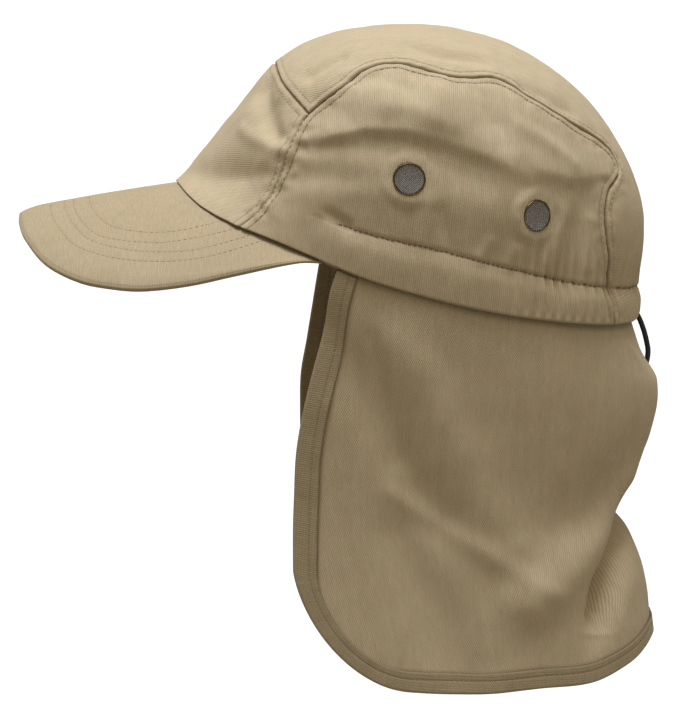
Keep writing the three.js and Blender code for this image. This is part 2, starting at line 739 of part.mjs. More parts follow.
// The flap's outer surface. across and down are distances on the cut cloth, from the middle of its back
// and from the rim, with across plus on the left. Above the rim it is tucked behind the crown's wall.
function flapSurface(across, down) {
  const share = across / flapHalf(down);
  const round = Math.abs(share);
  const side = across < 0 ? -1 : 1;
  const level = Math.max(down, 0) / flapLength;
  const edge = across < 0 ? "rightAngle" : "leftAngle";
  const angleAt = (low) => side * (180 - round * (180 - read(flapSections, "down", low, edge)));
  if (down < 0) return crownPoint(angleAt(0), 1 + down / crownLine(angleAt(0)), flapInset);
  const angle = angleAt(level);
  const column = (name) => read(flapSections, "down", level, name);
  const ahead = Math.abs(angle) < 90;
  const endReach = ahead ? column("front") * frontReach : column("back") * backReach;
  const radius = planRadius(angle, endReach, column("side") * sideReach);
  const drop = down * read(flapDrop, "across", Math.min(round, 1), "drop");
  return atAngle(angle, radius + flapFoldShift(across, down) - flapInset, rimHeight(angleAt(0)) - drop);
}

// A point inside the flap's wall or outside it, at a depth square to its surface, or level at the rim.
function flapPoint(across, down, depth = 0) {
  const place = flapSurface(across, down);
  const level = new THREE.Vector3(place.x, place.y, 0).normalize();
  const square = normalOf(flapSurface, across, down, -2, 2);
  const outwards = level.lerp(square, smooth(down, 0, 10)).normalize();
  return place.addScaledVector(outwards, -depth);
}

// The flap's outline as it is cut, inset by a distance. along: 0 at the top of the left front edge,
// down it, round the corner, along the hem and up the right edge to 1.
function flapOutline(along, inset, top) {
  const half = along <= 0.5 ? 2 * along : 2 - 2 * along;
  const side = along <= 0.5 ? 1 : -1;
  const edgeEnd = flapLength - cornerDown;
  if (half < edgeShare) {
    const down = lerp(top, edgeEnd, half / edgeShare);
    return new THREE.Vector2(side * (flapHalf(down) - inset), down);
  }
  const centre = flapHalf(edgeEnd) - cornerAcross;
  if (half < edgeShare + cornerShare) {
    const turn = ((half - edgeShare) / cornerShare) * (Math.PI / 2);
    const across = centre + (cornerAcross - inset) * Math.cos(turn);
    return new THREE.Vector2(side * across, edgeEnd + (cornerDown - inset) * Math.sin(turn));
  }
  const left = (1 - half) / (1 - edgeShare - cornerShare);
  return new THREE.Vector2(side * centre * left, flapLength - inset);
}

// The outline's stations, that the flap and its tape share. The first and the last of the hem are the
// middles of the rounded corners.
const cornerMiddle = (edgeShare + cornerShare / 2) / 2;
const edgeStations = Array.from({ length: edgeRows + 1 }, (_, i) => (cornerMiddle * i) / edgeRows);
const hemStations = Array.from({ length: hemColumns + 1 }, (_, i) =>
  lerp(cornerMiddle, 1 - cornerMiddle, i / hemColumns),
);

// The flap's grid has a strip of its own under the tape, all along the outline.
function neckFlap() {
  const edgeInset = tapeFold + tapeGap;
  const beside = stripShare * (hemStations[1] - hemStations[0]);
  const top = (t) => new THREE.Vector2(lerp(1, -1, t) * (flapHalfTop - tapeWidth), 0);
  const hem = (t) => flapOutline(lerp(cornerMiddle, 1 - cornerMiddle, t), tapeWidth, 0);
  const left = (t) => flapOutline(cornerMiddle * t, tapeWidth, 0);
  const right = (t) => flapOutline(1 - cornerMiddle * t, tapeWidth, 0);
  const inside = patch(top, hem, left, right);
  const outline = (along) => flapOutline(along, edgeInset, 0);
  const rows = edgeStations.map((along, i) => {
    const place = i < edgeRows ? along : along - beside;
    const row = hemStations.map((_, j) => inside(i / edgeRows, j / hemColumns));
    return [outline(place), ...row, outline(1 - place)];
  });
  const hemRow = hemStations.map((along, j) => {
    if (j === 0) return outline(along + beside);
    return outline(j === hemColumns ? along - beside : along);
  });
  rows.push([outline(cornerMiddle), ...hemRow, outline(1 - cornerMiddle)]);
  const tucked = rows[0].map((p) => new THREE.Vector2(p.x, -flapTuck));
  const grid = [tucked, ...rows];
  const layer = (depth) => grid.map((row) => row.map((p) => flapPoint(p.x, p.y, depth)));
  return shell(layer(0), layer(flapWall));
}

// The tape is folded over the flap's edge. Its section is a U that runs along the flap's outline, from
// just below the rim on the left to just below it on the right.
function flapTape() {
  const outer = -(tapeGap + tapeWall);
  const inner = flapWall + tapeGap + tapeWall;
  const section = [
    { inset: tapeFold, depth: -tapeGap },
    { inset: tapeFold, depth: inner - tapeWall },
    { inset: tapeWidth, depth: inner - tapeWall },
    { inset: tapeWidth, depth: inner },
    { inset: tapeFold, depth: inner },
    { inset: 0, depth: flapWall / 2 },
    { inset: tapeFold, depth: outer },
    { inset: tapeWidth, depth: outer },
    { inset: tapeWidth, depth: -tapeGap },
  ];
  const back = edgeStations.map((along) => 1 - along).reverse();
  const stations = [...edgeStations, ...hemStations.slice(1), ...back.slice(1)];
  const steps = stations.length - 1;
  const points = stations.flatMap((along) =>
    section.map((corner) => {
      const p = flapOutline(along, corner.inset, tapeTopGap);
      return flapPoint(p.x, p.y, corner.depth);
    }),
  );
  const index = [];
  const around = section.length;
  const at = (i, c) => i * around + (c % around);
  for (let i = 0; i < steps; i += 1) {
    for (let c = 0; c < around; c += 1) {
      index.push(at(i, c), at(i, c + 1), at(i + 1, c + 1), at(i, c), at(i + 1, c + 1), at(i + 1, c));
    }
  }
  const flat = section.map((corner) => new THREE.Vector2(corner.inset, corner.depth));
  for (const [a, b, c] of THREE.ShapeUtils.triangulateShape(flat, [])) {
    index.push(at(0, a), at(0, c), at(0, b));
    index.push(at(steps, a), at(steps, b), at(steps, c));
  }
  return facingOut(new THREE.BufferGeometry().setFromPoints(points).setIndex(index));
}

// A vent's rim: a rolled flange outside, a barrel through the cloth, and a smaller flange inside.
function ventRing({ place, outwards }) {
  const out = mouthGap;
  const inside = -(clothWall + 2 * mouthGap);
  const profile = [
    [ventHole, inside - ventStep],
    [ventRadius - ventStep, inside - ventStep],
    [ventRadius - ventStep, inside],
    [ventBarrel, inside],
    [ventBarrel, out],
    [ventRadius, out],
    [ventRadius - ventStep / 2, out + 0.7 * ventFlange],
    [ventHole + ventStep, out + ventFlange],
    [ventHole, out + ventFlange / 2],
    [ventHole, inside - ventStep],
  ];
  const lathe = new THREE.LatheGeometry(profile.map(([r, h]) => new THREE.Vector2(r, h)), roundSides);
  const turn = new THREE.Quaternion().setFromUnitVectors(new THREE.Vector3(0, 1, 0), outwards);
  return lathe.applyQuaternion(turn).translate(place.x, place.y, place.z);
}

// A vent's disk of wire mesh, inside its rim.
function ventMesh({ place, outwards }) {
  const centre = place.clone().addScaledVector(outwards, mouthGap - meshWall / 2);
  return rod(centre, outwards, ventHole - mouthGap, meshWall);
}

function drawCord() {
  const section = new THREE.Shape();
  section.absarc(0, 0, cordDiameter / 2, 0, 2 * Math.PI);
  return new THREE.ExtrudeGeometry(section, {
    extrudePath: cordCurve(),
    steps: cordSteps,
    curveSegments: cordSides / 2,
  });
}

// The lock is a short barrel with a hole for each run of the cord.
function cordLock() {
  const at = (i) => new THREE.Vector3(...cordRoute[i]);
  const corners = [lockFrom, lockTo, lockBackFrom, lockBackTo];
  const middle = corners.reduce((sum, i) => sum.add(at(i)), new THREE.Vector3()).divideScalar(4);
  const upright = at(lockFrom).sub(at(lockTo)).normalize();
  const profile = [
    [0, -lockHeight / 2],
    [lockRadius - lockChamfer, -lockHeight / 2],
    [lockRadius, -lockHeight / 2 + lockChamfer],
    [lockRadius, lockHeight / 2 - lockChamfer],
    [lockRadius - lockChamfer, lockHeight / 2],
    [0, lockHeight / 2],
  ];
  const barrel = new THREE.LatheGeometry(profile.map(([r, h]) => new THREE.Vector2(r, h)), roundSides);
  const turn = new THREE.Quaternion().setFromUnitVectors(new THREE.Vector3(0, 1, 0), upright);
  barrel.applyQuaternion(turn).translate(middle.x, middle.y, middle.z);
  let solid = solidOf(barrel);
  for (const [from, to] of [[lockFrom, lockTo], [lockBackFrom, lockBackTo]]) {
    const run = at(from).sub(at(to));
    const centre = at(from).add(at(to)).multiplyScalar(0.5);
    const hole = rod(centre, run.normalize(), cordDiameter / 2 + lockGap, 2 * lockHeight);
    solid = solid.subtract(solidOf(hole));
  }
  return geometryOf(solid);
}

const cap = new THREE.Group();

function add(name, geometry, material) {
  const mesh = new THREE.Mesh(geometry, material);
  mesh.name = name;
  cap.add(mesh);
}

add("crown_front_panel", panelShell(frontPanelPlace(), frontSteps, crossSteps), khaki);
add("crown_top_panel", topPanel(), khaki);
add("crown_side_panel_left", sidePanel(1), khaki);
add("crown_side_panel_right", sidePanel(-1), khaki);
add("sweatband", sweatband(), khaki);
add("bill", bill(), khaki);
add("neck_flap", neckFlap(), khaki);
add("flap_tape", flapTape(), khakiTape);
ventPlaces.forEach((vent, i) => {
  add(`vent_ring_${vent.name}`, ventRing(ventPoses[i]), agedMetal);
  add(`vent_mesh_${vent.name}`, ventMesh(ventPoses[i]), greyMesh);
});
add("draw_cord", drawCord(), blackElastic);
add("cord_lock", cordLock(), blackPlastic);

export default cap;
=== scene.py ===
import math

import bmesh
import bpy
import numpy as np
from mathutils import Matrix, Vector, noise
from mathutils.bvhtree import BVHTree
from mathutils.kdtree import KDTree


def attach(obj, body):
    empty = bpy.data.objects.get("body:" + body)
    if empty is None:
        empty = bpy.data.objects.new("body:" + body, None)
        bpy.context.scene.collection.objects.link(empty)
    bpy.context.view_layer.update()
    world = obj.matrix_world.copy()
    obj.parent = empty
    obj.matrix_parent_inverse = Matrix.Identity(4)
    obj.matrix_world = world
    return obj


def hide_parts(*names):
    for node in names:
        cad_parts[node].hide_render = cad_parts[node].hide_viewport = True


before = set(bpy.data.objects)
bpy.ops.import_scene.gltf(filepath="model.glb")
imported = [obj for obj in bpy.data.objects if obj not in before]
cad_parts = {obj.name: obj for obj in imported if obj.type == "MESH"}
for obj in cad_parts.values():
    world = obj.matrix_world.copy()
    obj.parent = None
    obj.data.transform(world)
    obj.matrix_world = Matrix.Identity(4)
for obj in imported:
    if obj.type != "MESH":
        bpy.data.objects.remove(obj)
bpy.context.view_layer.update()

# The bill points along -X, the wearer's left is -Y and up is +Z, and the origin is the middle of the head
# opening. Angles go round the head in degrees: 0 in front, 90 at the left ear, minus on the right.
mm = 0.001

# Camera
photo = dict(
    height=717,
    focalPixels=3182,
    target=Vector((-28.8, 0, -30.1)) * mm,
    distance=1.4,
    swing=2.5,
    lift=7,
)


def makeCamera(c):
    back = Vector((
        -math.sin(math.radians(c["swing"])) * math.cos(math.radians(c["lift"])),
        -math.cos(math.radians(c["swing"])) * math.cos(math.radians(c["lift"])),
        math.sin(math.radians(c["lift"])),
    ))
    data = bpy.data.cameras.new("camera")
    data.sensor_width = 36
    data.lens = c["focalPixels"] / c["height"] * data.sensor_width  # the long side is the height
    data.clip_start = 0.01
    data.clip_end = 500
    camera = bpy.data.objects.new("camera", data)
    camera.location = c["target"] + back * c["distance"]
    camera.rotation_euler = back.to_track_quat("Z", "Y").to_euler()
    bpy.context.collection.objects.link(camera)
    bpy.context.scene.camera = camera


# Tables: named columns, a row for each section or fold
def table(columns, *rows):
    return {name: np.array(values, float) for name, values in zip(columns.split(), zip(*rows))}


def read(rows, key, at, column):  # a smooth curve through a table's rows
    x, y = rows[key], rows[column]
    slope = np.empty_like(y)
    slope[0] = (y[1] - y[0]) / (x[1] - x[0])
    slope[-1] = (y[-1] - y[-2]) / (x[-1] - x[-2])
    slope[1:-1] = (y[2:] - y[:-2]) / (x[2:] - x[:-2])
    at = np.asarray(at, float)
    i = np.clip(np.searchsorted(x, at) - 1, 0, len(x) - 2)
    step = x[i + 1] - x[i]
    t = (at - x[i]) / step
    rise = (3 - 2 * t) * t * t
    bend = t * (1 - t) * step
    inside = mix(y[i], y[i + 1], rise) + bend * ((1 - t) * slope[i] - t * slope[i + 1])
    below = y[i] + slope[i] * step * t
    above = y[i + 1] + slope[i + 1] * step * (t - 1)
    return np.where(t < 0, below, np.where(t > 1, above, inside))


def mix(a, b, t):
    return a + (b - a) * t


def smooth(x, low, high):
    t = np.clip((x - low) / (high - low), 0, 1)
    return t * t * (3 - 2 * t)


def bell(x):
    return np.exp(-x * x)


def unit(v):
    return v / np.maximum(np.linalg.norm(v, axis=-1, keepdims=True), 1e-12)


def dot(a, b):
    return np.sum(a * b, axis=-1, keepdims=True)


def ruffle(spots, size, seed=0):  # smooth random values from -1 to 1, for small unevenness
    shift = Vector((seed * 7.31, seed * 3.17, seed * 5.71))
    return np.array([noise.noise(Vector(p) / size + shift) for p in spots])


def foldShift(folds, x, y, unitX, unitY, widthUnit):  # ridges and valleys along bent lines, in metres
    shift = np.zeros_like(x)
    here = np.stack((x, y), -1)
    for fold in np.unique(folds["fold"]):
        rows = folds["fold"] == fold
        line = np.stack((folds["x"][rows] * unitX, folds["y"][rows] * unitY), -1)
        over, under, depth = (folds[name][rows] for name in ("over", "under", "depth"))
        most = np.zeros_like(x)
        for i, way in enumerate(np.diff(line, axis=0)):
            away = here - line[i]
            t = np.clip(away @ way / (way @ way), 0, 1)
            gap = np.linalg.norm(away - t[..., None] * way, axis=-1)
            aside = (way[0] * away[..., 1] - way[1] * away[..., 0]) / np.hypot(*way)
            below = 0.5 + 0.5 * aside / np.maximum(gap, 1e-9)
            width = mix(mix(over[i], over[i + 1], t), mix(under[i], under[i + 1], t), below)
            value = mix(depth[i], depth[i + 1], t) * mm * bell(gap / (width * widthUnit))
            most = np.where(np.abs(value) > np.abs(most), value, most)
        shift += most
    return shift


# Crown
crown = dict(
    frontReach=101 * mm,
    backReach=100.5 * mm,
    sideReach=80 * mm,
    top=116.5 * mm,
    rimFront=48.5 * mm,
    rimBack=-12 * mm,
    planPower=2.25,
    frontArc=1.05,
    sideArc=1.2,
    backArc=1.17,
    sideLine=165 * mm,
    wall=1.2 * mm,
    seamGap=0.02 * mm,
    topSides=20 / 28,
    crossSeam=0.467,
    frontCorner=0.19,
    backCorner=0.72,
)
rimLine = table(
    "angle height",
    (0, 1),
    (12, 0.955),
    (25, 0.846),
    (50, 0.647),
    (75, 0.405),
    (100, 0.236),
    (125, 0.111),
    (150, 0.029),
    (180, 0),
)
crownSections = table(
    "share front frontUp side sideUp back backUp",
    (0, 0, 1, 0, 1, 0, 1),
    (0.05, 0.064, 0.998, 0.108, 0.998, 0.094, 0.998),
    (0.12, 0.153, 0.985, 0.257, 0.988, 0.224, 0.985),
    (0.25, 0.32, 0.94, 0.515, 0.945, 0.458, 0.928),
    (0.38, 0.473, 0.851, 0.735, 0.862, 0.672, 0.826),
    (0.5, 0.594, 0.709, 0.882, 0.745, 0.832, 0.7),
    (0.62, 0.691, 0.531, 0.972, 0.59, 0.957, 0.545),
    (0.74, 0.789, 0.355, 1.013, 0.41, 1.028, 0.384),
    (0.84, 0.87, 0.206, 1.018, 0.25, 1.036, 0.236),
    (0.92, 0.935, 0.089, 1.01, 0.12, 1.012, 0.111),
    (1, 1, 0, 1, 0, 1, 0),
)
casing = dict(
    width=19 * mm,
    dent=0.65 * mm,
    dentSpread=0.7 * mm,
    slope=1.5 * mm,
    slopeAbove=13 * mm,
    slopeBelow=4 * mm,
    flare=1.1 * mm,
    puff=0.35 * mm,
    gatherCount=21,
    gatherDepth=0.7 * mm,
    gatherSpread=8 * mm,
    puckerCount=104,
    puckerDepth=1.2 * mm,
    puckerAbove=10 * mm,
    hemRoll=0.7 * mm,
    hemHeight=1.2 * mm,
    # how dark the painted shade is along the casing's row and at the hem, and how wide
    rowShade=0.6,
    hemShade=0.5,
    shadeWidth=0.7 * mm,
    sideRow=(66, 147, 300),
    backRow=(153, 207, 200),
)
casingLine = table(
    "angle width hold gather",
    (58, 1, 0, 0),
    (65, 1, 0.5, 0),
    (74, 1, 1, 0),
    (94, 1.02, 1, 0.1),
    (114, 0.97, 1, 0.35),
    (135, 0.88, 1, 0.8),
    (158, 0.83, 1, 1),
    (180, 0.8, 1, 1),
)
seamLine = table(
    "along angle share",
    (0, 38.6, 1),
    (0.06, 45.3, 0.865),
    (0.124, 49.9, 0.728),
    (0.19, 53.9, 0.595),
    (0.247, 63.8, 0.506),
    (0.301, 72.5, 0.413),
    (0.34, 83, 0.384),
    (0.39, 96.3, 0.414),
    (0.427, 105.2, 0.43),
    (0.486, 120.6, 0.418),
    (0.543, 130.4, 0.47),
    (0.613, 141.7, 0.53),
    (0.701, 155, 0.59),
    (0.74, 156.4, 0.645),
    (0.79, 148.5, 0.7),
    (0.85, 146.2, 0.78),
    (0.926, 148.6, 0.885),
    (1, 151.4, 1),
)
crownDents = table(  # the crown's larger dents: turn leans one from level, sizes are shares of sideReach
    "angle share turn length width depth",
    (92, 0.5, -4, 0.62, 0.13, 1.8),
    (88, 0.62, -8, 0.6, 0.11, -2.4),
    (112, 0.74, 80, 0.25, 0.12, 2.2),
    (138, 0.76, 75, 0.3, 0.13, -3),
    (30, 0.8, 40, 0.22, 0.12, -2),
    (24, 0.62, 30, 0.25, 0.1, 1.2),
    (-92, 0.52, 4, 0.6, 0.14, 1.5),
    (-96, 0.64, 8, 0.55, 0.12, -2),
    (-32, 0.78, -35, 0.24, 0.12, -1.6),
)
crownCreases = table(  # finer folds: x is an angle over 90, y a share, over and under shares of sideReach
    "fold x y over under depth",
    (1, 0.64, 0.68, 0.08, 0.04, 0.6),
    (1, 0.72, 0.64, 0.14, 0.04, 2),
    (1, 0.82, 0.61, 0.2, 0.045, 3.6),
    (1, 0.96, 0.602, 0.17, 0.05, 4),
    (1, 1.1, 0.617, 0.16, 0.06, 3.4),
    (1, 1.22, 0.64, 0.16, 0.055, 3.8),
    (1, 1.36, 0.675, 0.12, 0.06, 1.6),
    (2, 0.6, 0.7, 0.04, 0.05, -1.4),
    (2, 0.71, 0.675, 0.04, 0.07, -1.2),
    (2, 0.86, 0.666, 0.04, 0.09, -0.8),
    (2, 1.1, 0.69, 0.04, 0.09, -0.8),
    (2, 1.24, 0.715, 0.05, 0.08, -0.8),
    (25, 0.9, 0.545, 0.06, 0.07, 0.9),
    (25, 1.02, 0.555, 0.06, 0.07, 1.1),
    (26, 1.08, 0.49, 0.05, 0.05, 0.9),
    (26, 1.07, 0.57, 0.05, 0.05, 1),
    (3, 1.41, 0.66, 0.12, 0.05, 1.6),
    (3, 1.5, 0.672, 0.12, 0.05, 2.6),
    (3, 1.63, 0.655, 0.1, 0.05, 1.2),
    (4, 1.27, 0.5, 0.07, 0.07, -1),
    (4, 1.28, 0.56, 0.07, 0.07, -1.8),
    (4, 1.29, 0.61, 0.05, 0.05, -1.2),
    (5, 0.97, 0.45, 0.07, 0.07, -0.8),
    (5, 0.96, 0.56, 0.07, 0.07, -1.2),
    (6, 1.1, 0.45, 0.06, 0.06, 0.7),
    (6, 1.12, 0.58, 0.06, 0.06, 1),
    (7, 1.04, 0.78, 0.05, 0.05, 1),
    (7, 1.01, 0.865, 0.05, 0.05, 0.8),
    (8, 1.07, 0.795, 0.045, 0.045, -0.9),
    (8, 1.11, 0.865, 0.045, 0.045, -0.7),
    (9, 1.5, 0.725, 0.05, 0.05, 1),
    (9, 1.46, 0.79, 0.05, 0.05, 1.4),
    (9, 1.42, 0.865, 0.05, 0.05, 1),
    (10, 1.42, 0.81, 0.04, 0.04, -1.2),
    (10, 1.39, 0.875, 0.04, 0.04, -1),
    (11, 1.57, 0.77, 0.035, 0.035, 1.1),
    (11, 1.56, 0.87, 0.035, 0.035, 0.9),
    (12, 0.98, 0.29, 0.06, 0.07, -1.4),
    (12, 1.15, 0.33, 0.06, 0.06, -3),
    (12, 1.33, 0.35, 0.06, 0.06, -1.8),
    (13, 0.64, 0.38, 0.06, 0.06, -2.2),
    (13, 0.54, 0.47, 0.06, 0.06, -2),
    (27, 1.45, 0.44, 0.05, 0.05, -1.2),
    (27, 1.6, 0.5, 0.06, 0.05, -1.6),
    (14, 0.72, 0.862, 0.04, 0.03, -1.6),
    (14, 0.77, 0.87, 0.03, 0.03, -1.8),
    (15, 0.1, 0.95, 0.12, 0.2, -2),
    (15, 0.24, 0.89, 0.13, 0.24, -4),
    (15, 0.37, 0.84, 0.12, 0.24, -4.8),
    (15, 0.46, 0.81, 0.09, 0.2, -3.6),
    (16, 0.26, 0.56, 0.09, 0.09, -2.6),
    (16, 0.38, 0.62, 0.1, 0.09, -3.6),
    (16, 0.48, 0.68, 0.06, 0.06, -2.6),
    (17, 0.27, 0.7, 0.05, 0.05, 1),
    (17, 0.53, 0.715, 0.05, 0.05, 1),
    (20, 0.72, 0.48, 0.05, 0.06, -0.9),
    (20, 0.86, 0.455, 0.06, 0.06, -1.3),
    (20, 0.98, 0.49, 0.05, 0.05, -0.8),
    (21, 0.6, 0.78, 0.1, 0.07, -1.4),
    (21, 0.72, 0.755, 0.1, 0.07, -1.8),
    (21, 0.84, 0.74, 0.07, 0.06, -0.6),
    (22, 1.36, 0.56, 0.05, 0.05, 1),
    (22, 1.46, 0.6, 0.05, 0.05, 1.4),
    (22, 1.52, 0.635, 0.04, 0.04, 0.8),
    (23, 1.23, 0.84, 0.03, 0.03, 0.7),
    (23, 1.2, 0.88, 0.03, 0.03, 1),
    (24, 1.31, 0.85, 0.03, 0.03, 0.8),
    (24, 1.29, 0.885, 0.03, 0.03, 1),
    (18, -0.7, 0.66, 0.06, 0.06, -1.8),
    (18, -1.05, 0.65, 0.06, 0.06, -2.2),
    (18, -1.4, 0.68, 0.06, 0.06, -1),
    (19, -0.8, 0.6, 0.15, 0.06, 2),
    (19, -1.25, 0.61, 0.15, 0.06, 2.4),
)


def rimHeight(angle):
    return mix(crown["rimBack"], crown["rimFront"], read(rimLine, "angle", np.abs(angle), "height"))


def planRadius(angle, endReach, side):
    along = np.abs(np.cos(np.radians(angle))) / endReach
    across = np.abs(np.sin(np.radians(angle))) / side
    return (along ** crown["planPower"] + across ** crown["planPower"]) ** (-1 / crown["planPower"])


def atAngle(angle, radius, height):
    x = -radius * np.cos(np.radians(angle))
    y = -radius * np.sin(np.radians(angle))
    return np.stack(np.broadcast_arrays(x, y, height), -1)


def smoothCrown(angle, share):
    share = np.maximum(share, 1e-4)
    ahead = np.cos(np.radians(angle)) > 0

    def column(name):
        return read(crownSections, "share", share, name)

    front = column("front") * crown["frontReach"]
    endReach = np.where(ahead, front, column("back") * crown["backReach"])
    radius = planRadius(angle, endReach, column("side") * crown["sideReach"])
    endUp = np.where(ahead, column("frontUp"), column("backUp"))
    up = mix(endUp, column("sideUp"), np.sin(np.radians(angle)) ** 2)
    return atAngle(angle, radius, mix(rimHeight(angle), crown["top"], up))


def crownLine(angle):  # the length of the crown's curved line from the rim to the top
    front = math.hypot(crown["frontReach"], crown["top"] - crown["rimFront"]) * crown["frontArc"]
    back = math.hypot(crown["backReach"], crown["top"] - crown["rimBack"]) * crown["backArc"]
    middle = (crown["rimFront"] + crown["rimBack"]) / 4
    side = math.hypot(crown["sideReach"], crown["top"] - middle) * crown["sideArc"]
    ends = np.where(np.cos(np.radians(angle)) > 0, front, back)
    return mix(ends, side, np.sin(np.radians(angle)) ** 2)


def normalOf(surface, a, b, da, db):
    alongA = surface(a + da, b) - surface(a - da, b)
    alongB = surface(a, b + db) - surface(a, b - db)
    return unit(np.cross(alongB, alongA))


def casingUp(angle, share):  # the height above the rim, and the casing's own height there
    up = (1 - share) * crownLine(angle)
    return up, casing["width"] * read(casingLine, "angle", np.abs(angle), "width")


def casingHold(angle):  # 1 where the casing is sewn, 0 in front of it
    return np.clip(read(casingLine, "angle", np.abs(angle), "hold"), 0, 1)


def casingShift(angle, share):  # the sewn row, the casing's swell and flare, and the gathers at the back
    c = casing
    turn = np.radians(angle)
    up, width = casingUp(angle, share)
    hold = casingHold(angle)
    above = up - width
    dent = c["dent"] * bell(above / c["dentSpread"])
    dent = dent + c["slope"] * bell(above / np.where(above > 0, c["slopeAbove"], c["slopeBelow"]))
    puff = np.where(up < width, c["puff"] * np.sin(np.pi * np.clip(up / width, 0, 1)), 0)
    gather = read(casingLine, "angle", np.abs(angle), "gather")
    near = bell(above / c["gatherSpread"])
    ripple = c["gatherDepth"] * np.sin(turn * c["gatherCount"]) * near
    uneven = 1.6 * np.sin(5 * turn + 0.4) + 1.1 * np.sin(13 * turn + 1.9)
    fine = np.sin(c["puckerCount"] * turn + uneven) * (0.75 + 0.25 * np.sin(9 * turn))
    reach = np.where(above < 0, 0.6 + 0.4 * near, bell(above / c["puckerAbove"]))
    pucker = c["puckerDepth"] * fine * reach * smooth(gather, 0.02, 0.75) * smooth(up, 0, 4 * mm)
    flare = c["flare"] * gather * (1 - smooth(up, 0, width))
    return hold * (puff + flare - dent + gather * ripple + pucker)


def dentShift(angle, share):  # broad dents, each a leaning oval
    shift = np.zeros(np.broadcast(angle, share).shape)
    for at, s, turn, length, width, depth in zip(*crownDents.values()):
        across = np.radians(angle - at) * crown["sideReach"]
        up = (s - share) * crownLine(angle)
        lean = math.radians(turn)
        along = (across * math.cos(lean) + up * math.sin(lean)) / (length * crown["sideReach"])
        over = (up * math.cos(lean) - across * math.sin(lean)) / (width * crown["sideReach"])
        shift += depth * mm * np.exp(-along * along - over * over)
    return shift


def creaseShift(angle, share):  # finer folds, laid out on the side panel's flat cloth
    span = math.pi / 2 * crown["sideReach"]
    line = crown["sideLine"]
    x = np.broadcast_to(angle / 90 * span, np.broadcast(angle, share).shape)
    y = np.broadcast_to(share * line, x.shape)
    return foldShift(crownCreases, x, y, span, line, crown["sideReach"])


def foldedCrown(angle, share):
    place = smoothCrown(angle, share)
    level = atAngle(angle, 1, 0)
    square = normalOf(smoothCrown, angle, share, 0.5, 0.005)
    square = np.where((share < 0.02)[..., None], np.array((0, 0, 1.0)), square)
    outwards = unit(mix(level, square, smooth(1 - share, 0.02, 0.2)[..., None]))
    shift = casingShift(angle, share) + dentShift(angle, share) + creaseShift(angle, share)
    return place + outwards * shift[..., None], outwards


# Vents
vent = dict(
    radius=6.75 * mm,
    hole=6.05 * mm,
    barrel=5.9 * mm,
    grip=2 * mm,
    flatten=6.5 * mm,
    wire=0.2 * mm,
    pitch=0.62 * mm,
    dish=0.5 * mm,
    cutGap=0.3 * mm,
    cutReach=10 * mm,
    puckerAt=9.5 * mm,
    puckerWidth=2.6 * mm,
    meshReach=0.1 * mm,
    meshTurn=38,
    weave=0.95,
)
ventPlaces = dict(  # an angle, a share and how far it is turned to the back, in degrees
    front_left=(87.5, 0.727, 0),
    rear_left=(124.2, 0.77, 7),
    front_right=(-87.5, 0.727, 0),
    rear_right=(-124.2, 0.77, 7),
)


def ventPose(angle, share, turn):
    at = np.array([angle], float), np.array([share], float)
    place = foldedCrown(*at)[0][0]
    outwards = Vector(normalOf(lambda a, s: foldedCrown(a, s)[0], *at, 3, 0.03)[0])
    outwards.rotate(Matrix.Rotation(math.radians(math.copysign(turn, angle)), 3, "Z"))
    return place, np.array(outwards)


ventPoses = {name: ventPose(*where) for name, where in ventPlaces.items()}


def crownPoint(angle, share):  # the crown's surface and its outward direction, flat round the vents
    place, outwards = foldedCrown(angle, share)
    for middle, way in ventPoses.values():
        away = place - middle
        far = np.linalg.norm(away, axis=-1, keepdims=True)
        hold = 1 - smooth(far, vent["radius"] + vent["grip"], vent["radius"] + vent["flatten"])
        place = place - way * hold * dot(away, way)
        outwards = mix(outwards, way, hold)
    return place, unit(outwards)


# Places on the crown as points of a flat disk, with the top at its centre and the rim on its edge
def onDisk(angle, share):
    turn = np.radians(angle)
    return np.stack((share * np.cos(turn), share * np.sin(turn)), -1)


def fromDisk(place):
    angle = np.degrees(np.arctan2(place[..., 1], place[..., 0]))
    return angle, np.linalg.norm(place, axis=-1)


def seamPlace(along, aside):
    def at(t):
        return onDisk(read(seamLine, "along", t, "angle"), read(seamLine, "along", t, "share"))

    ahead = unit(at(np.minimum(along + 0.01, 1)) - at(np.maximum(along - 0.01, 0)))
    place = at(along)
    scale = aside / crownLine(fromDisk(place)[0])
    return place + np.stack((ahead[..., 1] * scale, -ahead[..., 0] * scale), -1)


def cornerGap():
    def at(along):
        return smoothCrown(*fromDisk(seamPlace(np.array([along]), 0)))[0]

    step = 0.01
    corner = crown["frontCorner"]
    pace = np.linalg.norm(at(corner + step) - at(corner - step)) / (2 * step)
    return crown["seamGap"] / 2 / pace


def crossSeamPlace(t, ahead):
    corner = seamPlace(np.array(crown["frontCorner"] + ahead * cornerGap()), -crown["seamGap"] / 2)
    sideways = 2 * t - 1
    middle = crown["crossSeam"] - ahead * crown["seamGap"] / 2 / crownLine(0)
    return np.stack((mix(middle, corner[0], sideways ** 2), -sideways * corner[1]), -1)


def patch(bottom, top, left, right):  # a smooth patch between four edges that meet at its corners
    def place(v, u):
        v1, u1 = v[..., None], u[..., None]
        zero, one = np.zeros_like(u), np.ones_like(u)
        ruled = bottom(u) * (1 - v1) + top(u) * v1
        across = left(v) * (1 - u1) + right(v) * u1
        corners = bottom(zero) * (1 - u1) * (1 - v1) + bottom(one) * u1 * (1 - v1)
        return ruled + across - corners - top(zero) * (1 - u1) * v1 - top(one) * u1 * v1

    return place


def crowd(t, amount):  # brings a grid's lines closer together at both of its ends
    return t - amount / (2 * math.pi) * np.sin(2 * math.pi * t)


def mirrored(place, side):
    return place * np.array((1, side))


